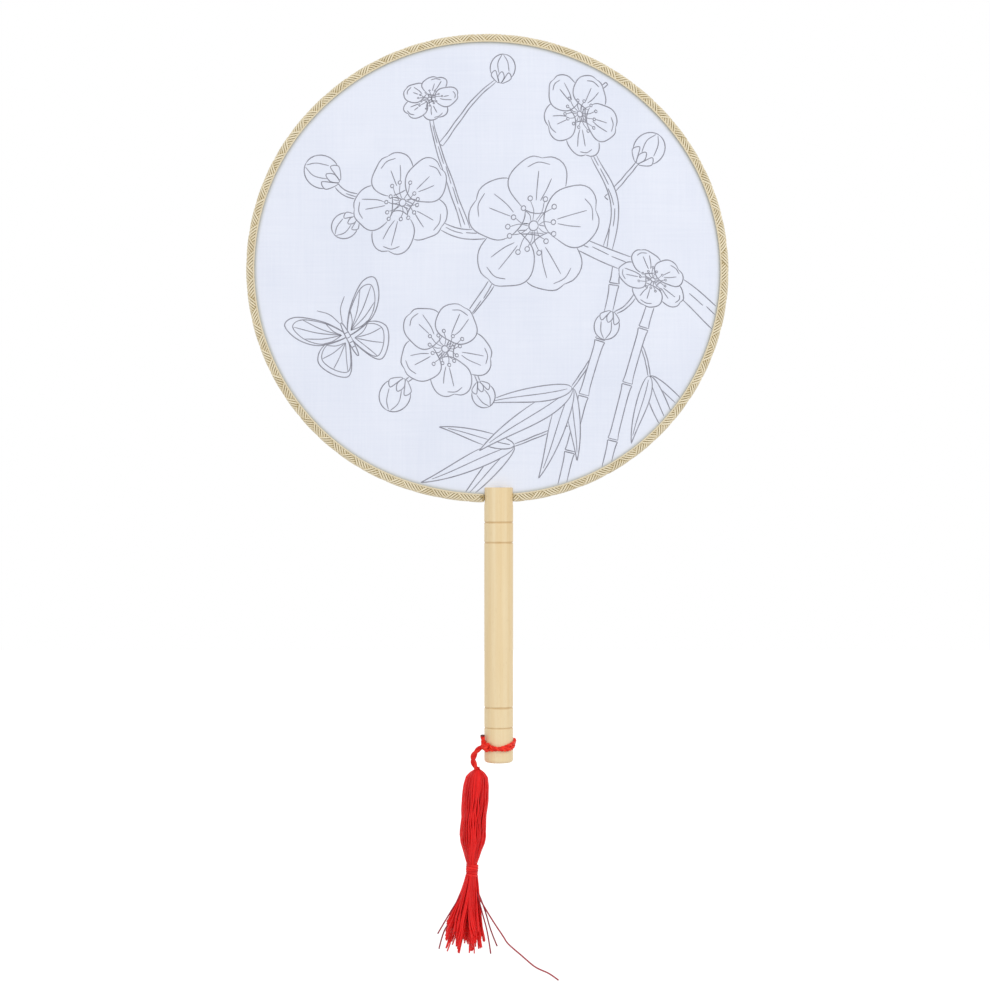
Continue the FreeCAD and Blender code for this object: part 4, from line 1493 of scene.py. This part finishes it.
@dataclass
class Tassel:
    """The tassel: a gathering knot, folded threads, a wound tie, and a skirt of cut threads."""

    lean: float = math.radians(3.2)
    thread: float = 0.82 * MM
    # Layers of threads in the head: how many threads, and how many thread widths below the outside.
    layers: tuple = ((68, 0.0), (60, 0.9), (44, 2.2))
    # How far the head bows to the left, and how far its threads waver.
    bow: float = 0.6 * MM
    waver: float = 0.16 * MM
    knot_turns: float = 2.6
    knot_cord: float = 0.95 * MM
    knot_pitch: float = 2.6 * MM
    tie_turns: int = 5
    tie_width: float = 1.24 * MM
    tie_thickness: float = 0.7 * MM
    # How near the axis the tie's two ends are tucked.
    tie_tuck: float = 1.6 * MM
    skirt_threads: int = 270
    skirt_reach: float = 11.2 * MM
    # Radius of the bundle where the skirt starts, how far a thread is off its place there, and how far up
    # under the tie it starts.
    skirt_root: float = 2.4 * MM
    skirt_jitter: float = 0.5 * MM
    skirt_overlap: float = 1.5 * MM
    skirt_drift: float = 2.0 * MM
    skirt_waver: float = 0.4 * MM
    clumps: int = 24
    # Shortest and longest clump, and how far a thread's end may be off its clump's: least, most and usual,
    # in millimetres.
    clump_lengths: tuple = (31, 40)
    ragged: tuple = (-10, 2.5, 1.5)
    skirt_seed: int = 8
    # The head's outline: ways down from the gathering knot with the radius there, in millimetres.
    profile: tuple = (
        (-1.4, 1.2), (-0.6, 2.6), (0.5, 4.1), (2.6, 5.8), (6.7, 6.6), (14.5, 6.9), (24.9, 6.5), (32.7, 6.8),
        (36.3, 6.3), (40.4, 4.9), (44.0, 3.9), (47.2, 2.8), (54.5, 2.5),
    )
    neck_start: float = 47.1 * MM
    neck_end: float = 54.5 * MM
    neck_radius: float = 2.5 * MM
    # Cut ends of the threads that stand away from the skirt, from the foot of the neck, as X, Y and Z in
    # millimetres.
    strays: tuple = (
        ((-3.4, -1.0, -4.0), (-7.0, -2.0, -11.4), (-12.4, -2.5, -19.9), (-17.5, -3.0, -28.7)),
        ((-5.5, 2.0, -10.0), (-12.2, 3.0, -25.0), (-15.0, 3.2, -29.4), (-17.0, 3.5, -37.8)),
        ((3.4, -2.0, -10.0), (5.8, -3.0, -19.0), (8.4, -3.5, -28.0), (9.9, -4.0, -38.8)),
        ((4.2, 2.0, -10.0), (7.4, 2.6, -19.0), (9.8, 3.0, -28.4), (13.2, 4.0, -36.6)),
    )
    # The long loose thread's route, from the foot of the neck, as X and Z, with a kink at its fifth and at
    # its tenth point.
    route: tuple = (
        (0.0004, -0.0036), (0.0028, -0.0086), (0.0066, -0.0156), (0.0122, -0.0246), (0.0166, -0.0310),
        (0.0180, -0.0336), (0.0206, -0.0362), (0.0254, -0.0402), (0.0308, -0.0450), (0.0336, -0.0470),
        (0.0362, -0.0482), (0.0406, -0.0500), (0.0450, -0.0534),
    )
    loose_length: float = 69.0 * MM
    loose_diameter: float = 0.8 * MM

    def __post_init__(self) -> None:
        """Read where the tassel hangs and set up its axis."""
        self.top = box_middle("gather_knot")
        self.down = np.array([-math.sin(self.lean), 0.0, -math.cos(self.lean)])
        self.out = np.array([math.cos(self.lean), 0.0, -math.sin(self.lean)])
        self.foot = self.top + self.down * self.neck_end
        self.chance = random.Random(SEED)

    def beside(self, down: np.ndarray, flat: np.ndarray) -> np.ndarray:
        """Find points by their way down the axis and their two offsets from it."""
        aside = np.outer(flat[:, 0], self.out) + np.outer(flat[:, 1], (0.0, 1.0, 0.0))
        return self.top + np.outer(down, self.down) + aside

    def build(self) -> None:
        """Make the knot, the head, the tie, the skirt and the loose thread."""
        self._gather()
        self._head()
        self._tie()
        self._skirt()
        self._loose_thread()

    def _gather(self) -> None:
        """Wrap the gathering knot."""
        mesh = StrandMesh()
        share = np.linspace(-1, 1, 70)
        turn = self.knot_turns * math.pi * (share + 1)
        down = (0.85 * share - 1.65) * MM
        radius = (0.65 + 0.2 * np.cos(1.4 * share)) * MM
        line = self.beside(down, polar(radius, turn))
        mesh.add_cord(line, self.knot_cord, 2, self.knot_pitch, tone=0.0, squeeze=0.05)
        add_piece(mesh.mesh("gather_knot_wraps"), CORD_RED, Body.TASSEL, "red_cord", "gather_knot")

    def _head(self) -> None:
        """Fold the threads over at the knot and draw them in at the neck."""
        mesh = StrandMesh()
        heights, widths = np.array(self.profile).T * MM
        start, end = self.profile[0][0], self.profile[-1][0]
        down = np.concatenate([np.linspace(start, 6, 10), np.linspace(7.5, end, 40)]) * MM
        reach = np.interp(down, heights, widths)
        share = (down - down[0]) / (down[-1] - down[0])
        free = np.sin(math.pi * share)
        aside = np.outer(free * self.bow, self.out)
        for count, depth in self.layers:
            for n in range(count):
                bearing = TURN * (n + self.chance.uniform(-0.4, 0.4)) / count
                sway = self.chance.uniform(-0.1, 0.1)
                wave = self.chance.uniform(*ANY_PHASE)
                sink = self.chance.choice((-0.15, 0.0, 0.1, 0.2, 0.4)) + depth
                crimp = np.sin(11 * share + wave) + 0.8 * np.sin(23 * share + 2.3 * wave)
                angle = bearing + free * (sway + 0.05 * crimp)
                radius = reach - self.thread / 2 - sink * self.thread * free ** 0.25
                radius = radius + self.waver * free * np.sin(17 * share + 3 * wave)
                # Threads beside each other share a tone, as locks do.
                lock = math.sin(9 * bearing + 2 * math.sin(4 * bearing))
                # Inner layers are painted darker, as painted shade under the outer threads.
                tone = self.chance.uniform(0.3, 1.05) + 0.38 * lock - 0.15 * depth
                width = self.thread * self.chance.uniform(0.8, 1.12)
                line = self.beside(down, polar(np.maximum(radius, 0.2 * MM), angle)) - aside
                mesh.add_tube(line, width, tone=tone)
        add_piece(mesh.mesh("tassel_head_threads"), THREAD_RED, Body.TASSEL, "red_thread", "tassel_head")

    def _tie(self) -> None:
        """Wind the tie tightly round the neck."""
        mesh = StrandMesh()
        share = np.linspace(0, 1, self.tie_turns * 26)
        length = self.neck_end - self.neck_start - self.tie_width
        down = self.neck_start + self.tie_width / 2 + length * share
        radius = self.neck_radius + self.tie_thickness / 2 + 0.12 * MM * np.sin(5 * share)
        tucked = 6
        radius[:tucked] = np.linspace(self.tie_tuck, radius[tucked], tucked)
        radius[-tucked:] = np.linspace(radius[-tucked - 1], self.tie_tuck, tucked)
        turn = TURN * self.tie_turns * share + 2.0
        line = self.beside(down, polar(radius, turn))
        normals = self.beside(down, polar(radius + MM, turn)) - line
        tone = 0.75 + 0.45 * np.sin(1.3 * turn)
        mesh.add_tube(line, self.tie_width, self.tie_thickness, normals, tone, sides=8)
        add_piece(mesh.mesh("tassel_tie_turns"), THREAD_RED, Body.TASSEL, "red_thread", "tassel_tie")

    def _skirt(self) -> None:
        """Spread the cut threads into a ragged bell below the tie."""
        mesh = StrandMesh()
        self.chance = random.Random(self.skirt_seed)
        clumps = []
        for _ in range(self.clumps):
            clumps.append((self._disc(self.skirt_reach), self.chance.uniform(*self.clump_lengths)))
        share = np.linspace(0, 1, 22)
        flare = share * (0.72 + 0.28 * share)
        top = self.neck_end - self.skirt_overlap
        for _ in range(self.skirt_threads):
            tip = self._disc(self.skirt_reach)
            near, length = min(clumps, key=lambda clump: np.linalg.norm(clump[0] - tip))
            base = tip * self.skirt_root / self.skirt_reach + self._disc(self.skirt_jitter)
            wave = self.chance.uniform(*ANY_PHASE)
            wander = np.sin(6 * share + wave) + 0.6 * np.sin(15 * share + 2.3 * wave)
            flat = base + np.outer(flare, tip - base)
            flat = flat + np.outer(share ** 3 * self.chance.uniform(0.35, 0.95), near - tip)
            flat = flat + self.skirt_waver * np.outer(wander * share, (math.sin(wave), math.cos(wave)))
            flat = flat - np.outer(flare * self.skirt_drift, (1.0, 0.0))
            down = top + (length + self.chance.triangular(*self.ragged)) * MM * share
            # Threads are painted lighter toward their tips, as painted light against the shade inside the
            # bundle.
            tone = self.chance.uniform(0.25, 0.95) + 0.55 * share ** 2
            width = self.thread * self.chance.uniform(0.85, 1.15)
            mesh.add_tube(self.beside(down, flat), width, tone=tone)
        add_piece(mesh.mesh("tassel_skirt_threads"), THREAD_RED, Body.TASSEL, "red_thread", "tassel_skirt")
        ends = StrandMesh()
        for points in self.strays:
            route = [self.foot, *[self.foot + np.array(point) * MM for point in points]]
            ends.add_tube(smooth_line(route), self.thread * 0.9)
        add_piece(ends.mesh("tassel_stray_ends"), STRAY_RED, Body.TASSEL, "red_thread")

    def _disc(self, radius: float) -> np.ndarray:
        """Pick a point of a disc by chance, spread evenly."""
        bearing = self.chance.uniform(0, TURN)
        return polar(radius * math.sqrt(self.chance.random()), bearing)

    def _loose_thread(self) -> None:
        points = [self.foot + (x, 0.0, z) for x, z in self.route]
        curve = smooth_curve("loose_thread", points)
        curve.bevel_depth = self.loose_diameter / 2
        curve.bevel_resolution = 3
        curve.use_fill_caps = True
        piece = add_piece(curve, LOOSE_RED, Body.TASSEL, "red_thread", "stray_thread")
        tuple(points[0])


@dataclass
class Studio:
    """Camera, soft light and white paper, set as a plain product picture."""

    camera_place: tuple = (-0.00192, -1.101, 0.0675)
    lens: float = 77.0
    sensor: float = 36.0
    far_clip: float = 20.0
    floor_drop: float = 0.05
    paper_reach: float = 3.0
    ambient: float = 0.72
    lamp_size: float = 1.2
    key_place: tuple = (0.95, -1.25, 0.9)
    key_power: float = 8.5
    fill_place: tuple = (-1.1, -1.2, 0.3)
    fill_power: float = 3.5

    def build(self) -> None:
        """Set up the camera, the paper, the lamps and the world."""
        scene = bpy.context.scene
        scene.view_settings.view_transform = "Standard"
        camera = bpy.data.objects.new("camera", bpy.data.cameras.new("camera"))
        camera.data.lens = self.lens
        camera.data.sensor_width = self.sensor
        camera.data.clip_end = self.far_clip
        camera.location = self.camera_place
        camera.rotation_euler = (math.pi / 2, 0.0, 0.0)
        scene.collection.objects.link(camera)
        scene.camera = camera
        self._paper()
        self._lamp("key_light", self.key_place, self.key_power)
        self._lamp("fill_light", self.fill_place, self.fill_power)
        self._world(scene)

    def _paper(self) -> None:
        """Lay the paper floor under the lowest thread."""
        low = CAD_BOX[0].z - self.floor_drop
        reach = self.paper_reach
        mesh = bpy.data.meshes.new("paper_floor")
        corners = [(-reach, -reach, low), (reach, -reach, low), (reach, reach, low), (-reach, reach, low)]
        mesh.from_pydata(corners, [], [(0, 1, 2, 3)])
        mesh.materials.append(PaperSweep().material())
        floor = bpy.data.objects.new("paper_floor", mesh)
        bpy.context.scene.collection.objects.link(floor)

    def _lamp(self, name: str, place: tuple, power: float) -> None:
        """Hang a soft square lamp that looks at the fan.

        Args:
            name: The lamp's name.
            place: Where it hangs.
            power: Its power in watts.
        """
        light = bpy.data.lights.new(name, "AREA")
        light.size = self.lamp_size
        light.energy = power
        lamp = bpy.data.objects.new(name, light)
        lamp.location = place
        aim = (CAD_BOX[0] + CAD_BOX[1]) / 2 - lamp.location
        lamp.rotation_euler = aim.to_track_quat("-Z", "Y").to_euler()
        bpy.context.scene.collection.objects.link(lamp)

    def _world(self, scene: bpy.types.Scene) -> None:
        """Light softly from all round, and show white behind the object."""
        world = bpy.data.worlds.new("white_room")
        scene.world = world
        world.use_nodes = True
        world.node_tree.nodes.clear()
        node = partial(add_node, world.node_tree)
        rays = background_rays(node)
        strength = node("MapRange", {"Value": rays, "To Min": self.ambient, "To Max": 1.0})
        sky = node("Background", {"Color": (1.0, 1.0, 1.0, 1.0), "Strength": strength})
        node("OutputWorld", {"Surface": sky})


def main() -> None:
    """Build every piece in order."""
    logging.basicConfig(level=logging.INFO, format="%(name)s: %(message)s")
    Studio().build()
    loop = TieLoop()
    loop.build()
    HangingCord(loop).build()
    Tassel().build()
    HandleAndHoop().dress()
    rim = RimLine()
    front = SilkFace(Side.FRONT, rim)
    front.build()
    SilkFace(Side.BACK, rim).build()
    LineDrawing(front).build()
    RimBraid(rim).build()


if __name__ == "__main__":
    main()
